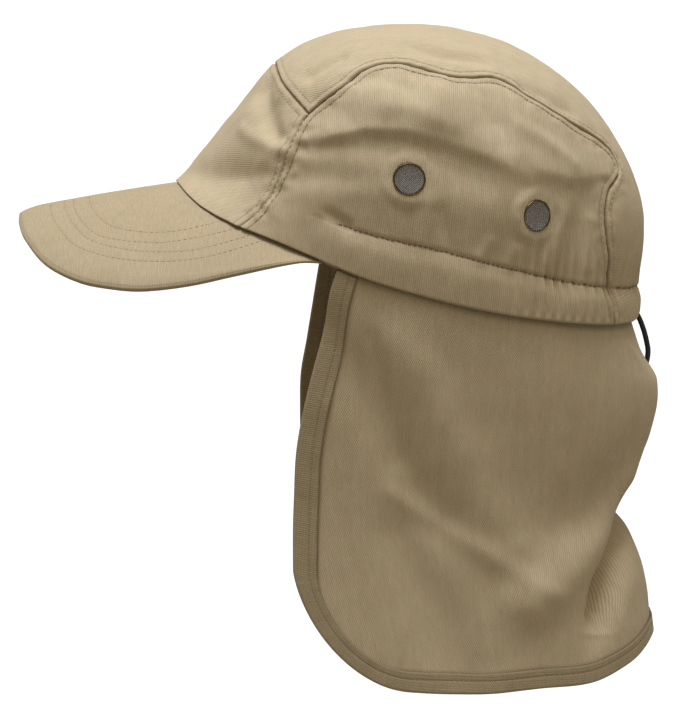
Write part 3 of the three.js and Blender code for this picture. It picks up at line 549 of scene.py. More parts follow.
def sidePanelPlace(side):
    def edge(start, end):
        return lambda t: mirrored(seamPlace(mix(start, end, t), crown["seamGap"] / 2), side)

    front = edge(0, crown["frontCorner"])
    back = edge(1, crown["backCorner"])
    ends = [fromDisk(way(np.array(0.0)))[0] for way in (front, back)]

    def rim(t):
        return onDisk(mix(ends[0], ends[1], t), 1)

    return patch(rim, edge(crown["frontCorner"], crown["backCorner"]), front, back)


def topPanelPlace():
    share = crown["topSides"]  # how much of the panel's edge runs along the top

    def edge(side):
        def place(t):
            start = crown["frontCorner"] + cornerGap()
            upper = mix(start, crown["backCorner"], np.minimum(t / share, 1))
            lower = mix(crown["backCorner"], 1, np.clip((t - share) / (1 - share), 0, 1))
            along = np.where(t < share, upper, lower)
            return mirrored(seamPlace(along, -crown["seamGap"] / 2), side)

        return place

    backAngle = fromDisk(edge(1)(np.array(1.0)))[0]

    def back(t):
        return onDisk(mix(backAngle, 360 - backAngle, t), 1)

    return patch(lambda t: crossSeamPlace(t, 1), back, edge(1), edge(-1))


def frontPanelPlace():
    def edge(side):
        end = crown["frontCorner"] - cornerGap()
        return lambda t: mirrored(seamPlace(end * t, -crown["seamGap"] / 2), side)

    frontAngle = fromDisk(edge(1)(np.array(0.0)))[0]

    def rim(t):
        return onDisk(mix(frontAngle, -frontAngle, t), 1)

    return patch(rim, lambda t: crossSeamPlace(t, -1), edge(1), edge(-1))


# Seams
seam = dict(  # jag makes the seam wander, and in front of frontShare it is looser
    groove=1.1 * mm,
    grooveWidth=0.55 * mm,
    ridge=0.16 * mm,
    ridgeAt=1.8 * mm,
    ridgeWidth=1.3 * mm,
    row=3.4 * mm,
    rowDepth=0.14 * mm,
    rowWidth=0.3 * mm,
    pucker=0.42 * mm,
    reach=4.5 * mm,
    puckerSize=4.5 * mm,
    jag=0.25 * mm,
    jagSize=1.7 * mm,
    jagReach=3 * mm,
    frontShare=0.19,
    easing=0.03,
    loosening=0.6,
    count=900,
    crossCount=300,
    crowding=0.68,
    # the painted shade in the seam's groove and along its stitch row: widths and strength
    shadeWidth=0.7 * mm,
    rowShade=0.5,
    rowShadeWidth=0.45 * mm,
)


def treeOf(points):
    tree = KDTree(len(points))
    for i, p in enumerate(points):
        tree.insert(Vector(p), i)
    tree.balance()
    return tree


def seamPoints():
    along = np.linspace(0, 1, seam["count"])
    lines = []
    for side in (1, -1):
        lines.append(crownPoint(*fromDisk(mirrored(seamPlace(along, 0), side)))[0])
    lines.append(crownPoint(*fromDisk(crossSeamPlace(np.linspace(0, 1, seam["crossCount"]), 0)))[0])
    return np.concatenate(lines)


seamTree = treeOf(seamPoints())


def seamShift(spots):  # the pressed seam, the ridge of its allowance and the row of stitching beside it
    found = [seamTree.find(Vector(p)) for p in spots]
    place, gap = (np.array([hit[i] for hit in found]) for i in (1, 2))
    s = seam
    along = place % s["count"] / s["count"]
    loose = (place < 2 * s["count"]) * (1 - smooth(along, s["frontShare"] - s["easing"], s["frontShare"]))
    gap = np.abs(gap + s["jag"] * ruffle(spots, s["jagSize"], 4) * bell(gap / s["jagReach"]))
    shift = -s["groove"] * (1 - s["loosening"] * loose) * bell(gap / s["grooveWidth"])
    shift += s["ridge"] * bell((gap - s["ridgeAt"]) / s["ridgeWidth"])
    shift -= s["rowDepth"] * bell((gap - s["row"]) / s["rowWidth"])
    gather = (1 + loose) * ruffle(spots, s["puckerSize"], 3)
    shift += s["pucker"] * gather * bell((gap - s["row"]) / s["reach"])
    return shift, gap, loose


# Making pieces
made = {}


def newPiece(name, bm, *nodes, slot):
    mesh = bpy.data.meshes.new(name)
    for face in bm.faces:
        face.smooth = True
    bm.to_mesh(mesh)
    bm.free()
    piece = bpy.data.objects.new(name, mesh)
    bpy.context.collection.objects.link(piece)
    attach(piece, "root")
    if nodes:
        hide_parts(*nodes)
    made[name] = piece
    return piece


def wall(piece, thickness):
    solid = piece.modifiers.new("wall", "SOLIDIFY")
    solid.thickness = thickness
    solid.offset = -1


def clothGrid(columns, rows, surface):  # a grid shaped by surface(v, u): spots, cloth places and painted shade
    bm = bmesh.new()
    bmesh.ops.create_grid(bm, x_segments=columns, y_segments=rows, size=1)
    share = np.array([vert.co.xy for vert in bm.verts]) / 2 + 0.5
    spots, cloth, shade = surface(share[:, 1], share[:, 0])
    for vert, spot in zip(bm.verts, spots):
        vert.co = spot
    layer = bm.loops.layers.uv.new("cloth")
    # a float on each corner: how much painted shade darkens the cloth there
    paintedShade = bm.verts.layers.float.new("paintedShade")
    bm.verts.index_update()
    for vert, value in zip(bm.verts, shade):
        vert[paintedShade] = value
    for face in bm.faces:
        for loop in face.loops:
            loop[layer].uv = cloth[loop.vert.index]
    return bm


def poseAt(middle, x, z):  # a matrix that brings a shape to a place, with its x and z along two directions
    return Matrix.Translation(middle) @ Matrix((x, z.cross(x), z)).transposed().to_4x4()


def turned(profile, steps, matrix, ring=False):  # a shape turned round z from its radii and heights
    bm = bmesh.new()
    verts = [bm.verts.new((out, 0, up)) for out, up in profile]
    after = verts[1:] + verts[:1] if ring else verts[1:]
    edges = [bm.edges.new(pair) for pair in zip(verts, after)]
    bmesh.ops.spin(bm, geom=verts + edges, axis=(0, 0, 1), cent=(0, 0, 0), steps=steps, angle=2 * math.pi,
                   use_merge=True)
    bmesh.ops.remove_doubles(bm, verts=bm.verts, dist=0.001 * mm)
    bmesh.ops.recalc_face_normals(bm, faces=bm.faces)
    bmesh.ops.transform(bm, matrix=matrix, verts=bm.verts)
    return bm


def faceAway(bm, middle):  # turns a sheet's faces so that they point away from a place
    bm.normal_update()
    total = sum((face.normal.dot(face.calc_center_median() - middle) for face in bm.faces), 0.0)
    if total < 0:
        bmesh.ops.reverse_faces(bm, faces=bm.faces)
    bm.normal_update()


crownMiddle = Vector((0, 0, 20)) * mm
surfaces = {}
unevenness = dict(
    wide=0.42 * mm,
    wideSize=24 * mm,
    small=0.2 * mm,
    smallSize=8 * mm,
    vent=0.22 * mm,
    ventSize=3.4 * mm,
)
flatCloth = dict(sideMiddle=95, across=1.05, topLength=300 * mm, frontLength=75 * mm)


def crownRelief(angle, share):  # the panels' finest shape, and the painted shade in seams, stitch rows, the casing's row and the hem
    spots, outwards = crownPoint(angle, share)
    shift, gap, loose = seamShift(spots)
    up, width = casingUp(angle, share)
    c, s, n = casing, seam, unevenness
    hem = np.clip(1 - np.clip(up / c["hemHeight"], 0, 1), 0, 1)
    shift -= c["hemRoll"] * (1 - np.sqrt(1 - hem ** 2))
    shift += n["wide"] * ruffle(spots, n["wideSize"], 1) + n["small"] * ruffle(spots, n["smallSize"], 2)
    for middle, way in ventPoses.values():
        far = np.linalg.norm(spots - middle, axis=-1)
        ring = bell((far - vent["puckerAt"]) / vent["puckerWidth"])
        shift += n["vent"] * ruffle(spots, n["ventSize"], 5) * ring
    # painted shade: darker in the seam's groove, along the stitch rows, along the casing's row and at the hem
    paintedShade = np.maximum.reduce((
        (1 - s["loosening"] * loose) * bell(gap / s["shadeWidth"]),
        s["rowShade"] * bell((gap - s["row"]) / s["rowShadeWidth"]),
        c["rowShade"] * casingHold(angle) * bell((up - width) / c["shadeWidth"]),
        c["hemShade"] * bell(up / c["shadeWidth"]),
    ))
    return spots + outwards * shift[:, None], paintedShade


def crownPanel(name, columns, rows, place, clothPlace, side=0):
    def surface(v, u):
        v, u = crowd(v, seam["crowding"]), crowd(u, seam["crowding"])
        angle, share = fromDisk(place(v, u))
        spots, paintedShade = crownRelief(angle, share)
        return spots, clothPlace(spots, angle, share, v), paintedShade

    bm = clothGrid(columns, rows, surface)
    faceAway(bm, crownMiddle)
    if side:
        cutVents(bm, side)
    surfaces[name] = BVHTree.FromBMesh(bm)
    wall(newPiece(name, bm, name, slot="cotton_twill"), crown["wall"])


def cutVents(bm, side):  # opens a round hole under each vent's rim
    for name, (middle, way) in ventPoses.items():
        if name.endswith("left") != (side > 0):
            continue
        middle, way = Vector(middle), Vector(way)
        hole = vent["barrel"] + vent["cutGap"]

        def outOf(place):
            away = place - middle
            return away - way * away.dot(way)

        def near(place):
            return (place - middle).length < vent["cutReach"]

        centres = {face: face.calc_center_median() for face in bm.faces}
        inside = [face for face, centre in centres.items() if outOf(centre).length < hole and near(centre)]
        bmesh.ops.delete(bm, geom=inside, context="FACES")
        for vert in bm.verts:
            if vert.is_boundary and near(vert.co):
                away = outOf(vert.co)
                vert.co += away.normalized() * (hole - away.length)


def makeCrown():
    c = flatCloth

    def sideCloth(spots, angle, share, v):
        reach = np.hypot(spots[:, 0], spots[:, 1])
        around = np.radians(np.abs(angle) - c["sideMiddle"]) * reach
        return np.stack((around, (1 - share) * crown["sideLine"]), -1)

    def topCloth(spots, angle, share, v):
        return np.stack((spots[:, 1] * c["across"], v * c["topLength"]), -1)

    def frontCloth(spots, angle, share, v):
        return np.stack((spots[:, 1] * c["across"], v * c["frontLength"]), -1)

    crownPanel("crown_side_panel_left", 250, 128, sidePanelPlace(1), sideCloth, side=1)
    crownPanel("crown_side_panel_right", 250, 128, sidePanelPlace(-1), sideCloth, side=-1)
    crownPanel("crown_top_panel", 100, 280, topPanelPlace(), topCloth)
    crownPanel("crown_front_panel", 150, 96, frontPanelPlace(), frontCloth)
    print("crown panels made")


# Bill
bill = dict(
    length=68 * mm,
    dip=12.2 * mm,
    sag=19 * mm,
    camber=0.6 * mm,
    curl=2 * mm,
    curlFrom=0.84,
    wall=3 * mm,
    endWall=1.2 * mm,
    endAngle=62,
    inset=3.65 * mm,
    gap=0.3 * mm,
    endTuck=1.8 * mm,
    lipGroove=0.16 * mm,
    lipAt=1.4 * mm,
    lipWidth=0.5 * mm,
    rowDent=0.1 * mm,
    rowWidth=0.5 * mm,
    uneven=0.05 * mm,
    unevenSize=12 * mm,
    lipFrom=0.46,
    crowding=1.25,
    thinFrom=0.84,
    tuckFrom=0.93,
    # how dark the painted shade is in the lip's groove and along the stitch rows
    lipShade=0.4,
    rowShade=0.22,
    clothAcross=1.1,
    rowSpan=0.9,
    rowEnd=2 * mm,
)
billEdge = table(
    "along forward out sag",
    (0, 1, 0, 0),
    (0.11, 0.992, 0.267, 0.03),
    (0.225, 0.963, 0.533, 0.2),
    (0.342, 0.889, 0.76, 0.58),
    (0.453, 0.772, 0.92, 0.82),
    (0.537, 0.657, 0.987, 0.88),
    (0.602, 0.566, 1.02, 0.85),
    (0.696, 0.43, 1.035, 0.68),
    (0.8, 0.28, 1.03, 0.4),
    (0.93, 0.09, 1.005, 0.07),
    (1, 0, 1, 0),
)
billRows = table(  # the topstitching's distance from the edge, in millimetres
    "across first second third fourth",
    (0, 31.5, 24.6, 20.6, 14.5),
    (0.26, 32.5, 24.9, 21, 14.6),
    (0.33, 35.6, 26.3, 21.6, 14.8),
    (0.43, 43.6, 33, 25.2, 17.3),
    (0.48, 51, 35.8, 26.8, 18.5),
    (0.59, 74, 47.7, 30, 20.4),
    (0.67, 96, 62, 38, 22.6),
    (0.74, 112, 78, 48, 30.7),
    (0.86, 140, 105, 72, 50),
)
rowNames = ("first", "second", "third", "fourth")


def billPoint(across, out):
    b = bill
    t = np.abs(across)
    angle = across * b["endAngle"]
    level = atAngle(angle, 1, 0)
    root = smoothCrown(angle, 1) - level * b["inset"]
    root[..., 2] -= b["gap"]
    end = smoothCrown(np.array(float(b["endAngle"])), 1)
    tip = np.array((-crown["frontReach"] - b["length"], 0, crown["rimFront"] - b["dip"]))
    side = np.sign(across) * end[1]
    edge = np.stack((
        mix(end[0], tip[0], read(billEdge, "along", t, "forward")),
        side * read(billEdge, "along", t, "out"),
        mix(tip[2], end[2] - b["gap"], t) - b["sag"] * read(billEdge, "along", t, "sag"),
    ), -1)
    edge = edge - level * (b["endTuck"] * smooth(t, b["tuckFrom"], 1))[..., None]
    place = mix(root, edge, out[..., None])
    curled = np.clip((out - b["curlFrom"]) / (1 - b["curlFrom"]), 0, 1)
    rise = b["camber"] * 4 * out * (1 - out) - b["curl"] * curled ** 2
    place[..., 2] += rise * (1 - t ** 4)
    return place, np.linalg.norm(edge - root, axis=-1)


def makeBill():
    b = bill

    def section(k, t, reach):  # out along the top, round the lip and back along the underside
        thick = mix(b["wall"], b["endWall"], smooth(t, b["thinFrom"], 1))
        round_ = thick / 2 / reach
        flat = b["lipFrom"]
        turn = np.clip((k - flat) / (1 - 2 * flat), 0, 1) * math.pi
        top = np.clip(k / flat, 0, 1)
        under = np.clip((1 - k) / flat, 0, 1)
        run = np.where(k < flat, top, np.where(k > 1 - flat, under, 1))
        run = 1 - (1 - run) ** b["crowding"]
        out = run * (1 - round_) + round_ * np.sin(turn) * (run >= 1 - 1e-9)
        depth = thick / 2 * (1 - np.cos(turn))
        return out, depth

    def surface(v, u):
        across = 2 * u - 1
        reach = billPoint(across, np.ones_like(across))[1]
        out, depth = section(v, np.abs(across), reach)
        spots = billPoint(across, out)[0]
        square = normalOf(lambda a, o: billPoint(a, o)[0], across, np.clip(out, 0.02, 0.98), 0.004, 0.01)
        square = np.where(square[:, 2:] < 0, -square, square)
        inset = (1 - out) * reach
        top = v < 0.5
        lip = bell((inset - b["lipAt"]) / b["lipWidth"])
        sewn = np.zeros_like(across)
        for row in rowNames:
            line = read(billRows, "across", np.abs(across), row) * mm
            sewn = np.maximum(sewn, bell((inset - line) / b["rowWidth"]))
        shift = -b["lipGroove"] * lip - b["rowDent"] * sewn * top
        shift += b["uneven"] * ruffle(spots, b["unevenSize"], 8)
        spots = spots - square * depth[:, None] + square * (shift * np.where(top, 1, -1))[:, None]
        cloth = np.stack((spots[:, 0], spots[:, 1] * np.where(top, 1, -1) * b["clothAcross"]), -1)
        # painted shade in the lip's groove and along the top's stitch rows
        return spots, cloth, np.maximum(b["lipShade"] * lip, b["rowShade"] * sewn * top)

    bm = clothGrid(240, 190, surface)
    loops = [e for e in bm.edges if e.is_boundary]
    bmesh.ops.holes_fill(bm, edges=loops, sides=0)
    bmesh.ops.remove_doubles(bm, verts=bm.verts, dist=0.002 * mm)
    bmesh.ops.recalc_face_normals(bm, faces=bm.faces)
    surfaces["bill"] = BVHTree.FromBMesh(bm)
    newPiece("bill", bm, "bill", slot="bill_twill")
    print("bill made")


# Neck flap
flap = dict(
    wall=1 * mm,
    tuck=6 * mm,
    halfTop=178 * mm,
    halfHem=202 * mm,
    length=174.5 * mm,
    cornerAcross=48 * mm,
    cornerDown=46 * mm,
    inset=1.8 * mm,
    edge=1.0 * mm,
    edgeShare=0.36,
    cornerShare=0.25,
    tuckRows=0.034,
    hangRows=0.035,
    billow=0.6 * mm,
    billowSize=20 * mm,
    billowDown=0.3,
    rumple=0.3 * mm,
    rumpleSize=13 * mm,
    stillTo=2 * mm,
    freeFrom=30 * mm,
    # painted shadow under the crown's rim at the flap's top, and painted shade along the tape's edge
    topShadeWidth=2.5 * mm,
    edgeShade=0.8,
    edgeShadeWidth=0.7 * mm,
)
flapSections = table(
    "down front side back left right",
    (0, 1, 1, 1, 66.4, 66.4),
    (0.07, 1.1, 0.99, 1.03, 63.8, 64.8),
    (0.17, 1.28, 0.975, 1.065, 61.3, 62.8),
    (0.27, 1.48, 0.96, 1.07, 58.8, 60.8),
    (0.36, 1.65, 0.95, 1.04, 56.6, 59),
    (0.45, 1.78, 0.94, 0.99, 55, 58.6),
    (0.56, 1.85, 0.935, 0.945, 54.4, 58.6),
    (0.64, 1.85, 0.94, 0.98, 54.3, 58.7),
    (0.8, 1.85, 0.955, 1.07, 54.7, 59),
    (1, 1.85, 0.985, 1.11, 55, 59),
)
flapDrop = table(
    "across drop",
    (0, 0.79),
    (0.1, 0.805),
    (0.2, 0.845),
    (0.3, 0.88),
    (0.42, 0.895),
    (0.56, 0.925),
    (0.75, 0.955),
    (1, 1),
)
flapFolds = table(  # x is a share of halfHem, plus on the left, y of length, over and under of sideReach
    "fold x y over under depth",
    (1, 0.04, 0.2, 0.17, 0.17, 5),
    (1, 0.07, 0.42, 0.17, 0.17, 5),
    (2, -0.04, 0.58, 0.09, 0.09, -7),
    (2, 0.08, 0.62, 0.09, 0.085, -12),
    (2, 0.17, 0.69, 0.085, 0.085, -17),
    (2, 0.22, 0.75, 0.085, 0.085, -17),
    (2, 0.25, 0.815, 0.08, 0.08, -11),
    (2, 0.27, 0.875, 0.08, 0.08, -2),
    (3, 0.12, 0.5, 0.13, 0.13, 5),
    (3, 0.42, 0.76, 0.15, 0.15, 5),
    (4, 0.9, 0.12, 0.14, 0.14, -3),
    (4, 0.62, 0.55, 0.14, 0.14, -3),
    (5, 0.72, 0.1, 0.16, 0.16, 2.5),
    (5, 0.45, 0.6, 0.16, 0.16, 2.5),
    (6, 0.72, 0.62, 0.16, 0.16, -2.5),
    (6, 0.6, 0.95, 0.16, 0.16, -2.5),
    (7, -0.14, 0.18, 0.2, 0.2, -6),
    (7, -0.16, 0.75, 0.2, 0.2, -6),
    (8, -0.42, 0.25, 0.2, 0.2, 3.5),
    (8, -0.46, 0.95, 0.2, 0.2, 3.5),
    (9, -0.7, 0.3, 0.16, 0.16, -2.5),
    (9, -0.72, 0.9, 0.16, 0.16, -2.5),
    (10, 0.73, 0.5, 0.06, 0.06, 0.8),
    (10, 0.52, 0.62, 0.07, 0.07, 1.4),
    (10, 0.37, 0.75, 0.07, 0.07, 1.2),
    (11, 0.79, 0.135, 0.05, 0.06, -1),
    (11, 0.75, 0.275, 0.06, 0.07, -1.4),
    (11, 0.72, 0.415, 0.06, 0.06, -0.8),
    (12, 0.19, 0.02, 0.03, 0.03, 1),
    (12, 0.14, 0.08, 0.03, 0.03, 1.6),
    (12, 0.1, 0.14, 0.04, 0.04, 0.6),
)


def flapHalf(down):
    return mix(flap["halfTop"], flap["halfHem"], np.maximum(down, 0) / flap["length"])


def flapSurface(across, down):
    f = flap
    share = across / flapHalf(down)
    round_ = np.abs(share)
    side = np.where(across < 0, -1, 1)
    level = np.maximum(down, 0) / f["length"]

    def angleAt(low):
        left = read(flapSections, "down", low, "left")
        right = read(flapSections, "down", low, "right")
        return side * (180 - round_ * (180 - np.where(across < 0, right, left)))

    angle = angleAt(level)
    top = angleAt(np.zeros_like(level))
    ahead = np.abs(angle) < 90
    front = read(flapSections, "down", level, "front") * crown["frontReach"]
    endReach = np.where(ahead, front, read(flapSections, "down", level, "back") * crown["backReach"])
    radius = planRadius(angle, endReach, read(flapSections, "down", level, "side") * crown["sideReach"])
    folds = foldShift(flapFolds, across, down, f["halfHem"], f["length"], crown["sideReach"])
    folds = folds * smooth(down, 0, 0.2 * f["length"])
    drop = down * read(flapDrop, "across", np.minimum(round_, 1), "drop")
    hanging = atAngle(angle, radius + folds - f["inset"], rimHeight(top) - drop)
    place, outwards = foldedCrown(top, 1 + down / crownLine(top))
    tucked = place - outwards * f["inset"]
    return np.where((down < 0)[..., None], tucked, hanging)


def flapPoint(across, down, depth=0.0):
    place = flapSurface(across, down)
    level = unit(place * np.array((1, 1, 0)))
    square = normalOf(flapSurface, across, down, -2 * mm, 2 * mm)
    outwards = unit(mix(level, square, smooth(down, 0, 10 * mm)[..., None]))
    return place - outwards * np.asarray(depth)[..., None], outwards


def flapOutline(along, inset, top=0.0):  # the cut edge: down the left front, along the hem, up the right
    f = flap
    half = np.where(along <= 0.5, 2 * along, 2 - 2 * along)
    side = np.where(along <= 0.5, 1, -1)
    edgeEnd = f["length"] - f["cornerDown"]
    down = mix(top, edgeEnd, np.minimum(half / f["edgeShare"], 1))
    straight = np.stack(np.broadcast_arrays(flapHalf(down) - inset, down), -1)
    centre = flapHalf(edgeEnd) - f["cornerAcross"]
    turn = np.clip((half - f["edgeShare"]) / f["cornerShare"], 0, 1) * (math.pi / 2)
    corner = np.stack((
        centre + (f["cornerAcross"] - inset) * np.cos(turn),
        edgeEnd + (f["cornerDown"] - inset) * np.sin(turn),
    ), -1)
    left = (1 - half) / (1 - f["edgeShare"] - f["cornerShare"])
    hem = np.stack(np.broadcast_arrays(centre * np.minimum(left, 1), f["length"] - inset), -1)
    place = np.where((half < f["edgeShare"])[..., None], straight, corner)
    place = np.where((half > f["edgeShare"] + f["cornerShare"])[..., None], hem, place)
    return place * np.stack((side, np.ones_like(side)), -1)


cornerMiddle = (flap["edgeShare"] + flap["cornerShare"] / 2) / 2


def makeFlap():
    f = flap

    def outline(along):
        return flapOutline(along, np.full(np.shape(along), f["edge"]))

    def top(t):
        return np.stack(np.broadcast_arrays(mix(1, -1, t) * (f["halfTop"] - f["edge"]), 0 * t), -1)

    inside = patch(
        top,
        lambda t: outline(mix(cornerMiddle, 1 - cornerMiddle, t)),
        lambda t: outline(cornerMiddle * t),
        lambda t: outline(1 - cornerMiddle * t),
    )

    def surface(v, u):
        cut = inside(np.maximum(v * (1 + f["hangRows"]) - f["hangRows"], 0), u)
        across, down = cut[:, 0], cut[:, 1]
        down = np.where(v < f["tuckRows"], -f["tuck"] * (1 - v / f["tuckRows"]), down)
        spots, outwards = flapPoint(across, down)
        free = smooth(down, f["stillTo"], f["freeFrom"])
        hang = np.stack((across, down * f["billowDown"], 0 * down), -1)  # long up and down
        shift = f["billow"] * ruffle(hang, f["billowSize"], 11)
        shift = (shift + f["rumple"] * ruffle(spots, f["rumpleSize"], 12)) * free
        edgeGap = np.minimum(flapHalf(down) - np.abs(across), f["length"] - down)
        # painted shadow under the crown's rim, and painted shade beside the tape's edge
        paintedShade = bell(np.maximum(down, 0) / f["topShadeWidth"])
        paintedShade = np.maximum(paintedShade, f["edgeShade"] * bell((edgeGap - tape["width"]) / f["edgeShadeWidth"]))
        return spots + outwards * shift[:, None], np.stack((across, down), -1), paintedShade

    bm = clothGrid(300, 136, surface)
    faceAway(bm, Vector((0, 0, -80)) * mm)
    piece = newPiece("neck_flap", bm, "neck_flap", slot="cotton_twill")
    wall(piece, f["wall"])
    print("neck flap made")
    return piece


# Tape folded over the flap's edge
tape = dict(
    wall=0.75 * mm,
    gap=0.12 * mm,
    width=9.4 * mm,
    fold=0.9 * mm,
    top=1.2 * mm,
    length=1060 * mm,
    columns=620,
    stitchAt=6 * mm,
    stitchWidth=0.4 * mm,
    pitch=3.6 * mm,
    dent=0.16 * mm,
    wave=0.12 * mm,
    waveAt=6.5 * mm,
    waveWidth=2.2 * mm,
    uneven=0.3 * mm,
    unevenSize=17 * mm,
    # painted shade in the stitch dents and at the tape's edges on the flap
    stitchShade=0.7,
    endShadeWidth=0.3 * mm,
)
tapeShape = dict(  # the section's corners, and the points of its faces in millimetres from the fold
    corner=0.25 * mm,
    lipAt=0.9 * mm,
    lip=0.05 * mm,
    edgeIn=0.1 * mm,
    edgeDrop=0.3 * mm,
    halfway=5 * mm,
    inside=1.6 * mm,
    crease=1.2 * mm,
    outerPoints=(8, 7.1, 6.55, 6.25, 6, 5.75, 5.45, 4.9, 4, 3.1, 2.2, 1.4),
    innerPoints=(1.4, 3, 4.8, 5.5, 6, 6.5, 7.6),
)


def tapeSection():  # the outer face, the fold, the inner face and the sides that lie on the flap
    t, s, w = tape, tapeShape, tape["width"]
    face = t["gap"] + t["wall"]
    back = flap["wall"] + face
    middle = flap["wall"] / 2
    half = (back + face) / 2
    outer = [(w - s["corner"], -face), (w - s["lipAt"], -face - s["lip"])]
    outer += [(x * mm, -face) for x in s["outerPoints"]]
    turns = [math.pi * k / 12 for k in range(5, -6, -1)]
    bend = [(t["fold"] * (1 - math.cos(a)), middle - half * math.sin(a)) for a in turns]
    inner = [(x * mm, back) for x in s["innerPoints"]] + [(w - s["corner"], back)]
    close = [(w, back - s["edgeDrop"])]
    close += [(x, back - t["wall"]) for x in (w - s["edgeIn"], s["halfway"], s["inside"])]
    close += [(s["crease"], middle)]
    close += [(x, -t["gap"]) for x in (s["inside"], s["halfway"], w - s["edgeIn"])]
    close += [(w, -t["gap"] - s["edgeDrop"])]
    return np.array(outer + bend + inner + close)


def makeTape():
    t = tape
    section = tapeSection()
    count = len(section)

    def surface(v, u):
        k = np.rint(v * count).astype(int) % count
        inset, depth = section[k, 0], section[k, 1]
        cut = flapOutline(u, inset, t["top"])
        around = u * t["length"]
        outside = depth < 0
        sewn = bell((inset - t["stitchAt"]) / t["stitchWidth"])
        beat = np.sin(2 * math.pi * around / t["pitch"])
        wave = t["wave"] * beat * bell((inset - t["waveAt"]) / t["waveWidth"])
        wave = wave + t["uneven"] * ruffle(np.stack((around, inset, 0 * u), -1), t["unevenSize"], 15)
        depth = depth + np.where(outside, 1, -1) * t["dent"] * sewn - wave
        spots = flapPoint(cut[:, 0], cut[:, 1], depth)[0]
        # painted shade in the stitch dents and at the tape's edges on the flap
        paintedShade = t["stitchShade"] * (0.5 + 0.5 * beat) * sewn
        paintedShade = np.maximum(paintedShade, bell((inset - t["width"]) / t["endShadeWidth"]))
        return spots, np.stack((around, inset * np.where(outside, 1, -1)), -1), paintedShade

    bm = clothGrid(t["columns"], count, surface)
    bmesh.ops.remove_doubles(bm, verts=bm.verts, dist=0.001 * mm)
    bmesh.ops.holes_fill(bm, edges=[e for e in bm.edges if e.is_boundary], sides=0)
    bmesh.ops.recalc_face_normals(bm, faces=bm.faces)
    print("tape made")
    return newPiece("flap_tape", bm, "flap_tape", slot="twill_tape")


# Sweatband
band = dict(
    wall=1 * mm,
    height=26 * mm,
    shows=2 * mm,
    inset=4.65 * mm,
    top=0.6 * mm,
    blend=4,
    reach=90 * mm,
    uneven=0.12 * mm,
    unevenSize=9 * mm,
    rowAt=0.04,
    rowWidth=0.03,
)


def makeBand():
    def surface(v, u):
        angle = 360 * u - 180
        round_ = np.abs(angle)
        beside = smooth(round_, bill["endAngle"] - band["blend"], bill["endAngle"])  # past the bill's ends
        low = mix(band["top"], -band["shows"], beside)
        up = mix(low, band["height"], v)
        place, outwards = foldedCrown(angle, 1 - up / crownLine(angle))
        shift = band["uneven"] * ruffle(place, band["unevenSize"], 21)
        spots = place - outwards * (band["inset"] - shift)[:, None]
        cloth = np.stack((np.radians(angle) * band["reach"], up), -1)
        # the last value is painted shade along the band's stitch row near its lower edge
        return spots, cloth, bell((v - band["rowAt"]) / band["rowWidth"])

    bm = clothGrid(360, 26, surface)
    bmesh.ops.remove_doubles(bm, verts=bm.verts, dist=0.001 * mm)
    faceAway(bm, Vector((0, 0, 0)))
    piece = newPiece("sweatband", bm, "sweatband", slot="band_cotton")
    wall(piece, band["wall"])
    print("sweatband made")


# Stitches
threads = dict(  # sink is how much of a stitch lies in the cloth
    seam=dict(pitch=2.7 * mm, length=2.2 * mm, radius=0.15 * mm, sink=0.25),
    casing=dict(pitch=2.3 * mm, length=1.7 * mm, radius=0.3 * mm, sink=0.25),
    light=dict(pitch=2.6 * mm, length=2.4 * mm, radius=0.18 * mm, sink=0),
    bill=dict(pitch=2.4 * mm, length=1.7 * mm, radius=0.13 * mm, sink=0.25),
)
seamRows = dict(  # how far aside of the seam, and from where to where along it
    side=(seam["row"], 0.02, 0.99),
    top=(-seam["row"], 0.22, 0.99),
    front=(-seam["row"], 0.02, 0.17),
    light=(0.2 * mm, 0.02, 0.18),
)


def stitchLine(bm, path, surface, pitch, length, radius, sink):
    steps = np.linalg.norm(np.diff(path, axis=0), axis=1)
    along = np.concatenate(([0], np.cumsum(steps)))
    for start in np.arange(pitch / 2, along[-1] - length, pitch):
        ends = [Vector([np.interp(start + d, along, path[:, i]) for i in range(3)]) for d in (0, length)]
        (a, up), (b, _) = [surface.find_nearest(end)[:2] for end in ends]
        way = b - a
        if way.length < length * 0.4:
            continue
        x = way.normalized()
        z = (up - x * up.dot(x)).normalized()
        size = Matrix.Diagonal((length / 2, radius, radius, 1))
        matrix = poseAt((a + b) / 2 + z * radius * (1 - 2 * sink), x, z) @ size
        bmesh.ops.create_uvsphere(bm, u_segments=6, v_segments=4, radius=1, matrix=matrix)


def stitches(name, *rows, slot="cotton_twill"):  # a row is its path, the piece it is sewn on and its thread
    bm = bmesh.new()
    for path, sewnOn, kind in rows:
        stitchLine(bm, path, surfaces[sewnOn], **threads[kind])
    newPiece(name, bm, slot=slot)


def seamRow(row, side):
    aside, start, end = seamRows[row]
    along = np.linspace(start, end, 600)
    return crownPoint(*fromDisk(mirrored(seamPlace(along, aside), side)))[0]


def crossRow(ahead):
    place = crossSeamPlace(np.linspace(0.03, 0.97, 300), 0)
    place[:, 0] -= ahead * seam["row"] / crownLine(0)
    return crownPoint(*fromDisk(place))[0]


def casingRow(row, side=1):  # along the top of the casing, from one angle to another
    angles = side * np.linspace(*casing[row])
    angles = np.where(angles > 180, angles - 360, angles)
    return crownPoint(angles, 1 - casingUp(angles, 1)[1] / crownLine(angles))[0]


def billRow(row):
    across = np.linspace(-bill["rowSpan"], bill["rowSpan"], 900)
    reach = billPoint(across, np.ones_like(across))[1]
    inset = read(billRows, "across", np.abs(across), row) * mm
    shown = inset < reach - bill["rowEnd"]
    return billPoint(across[shown], 1 - inset[shown] / reach[shown])[0]


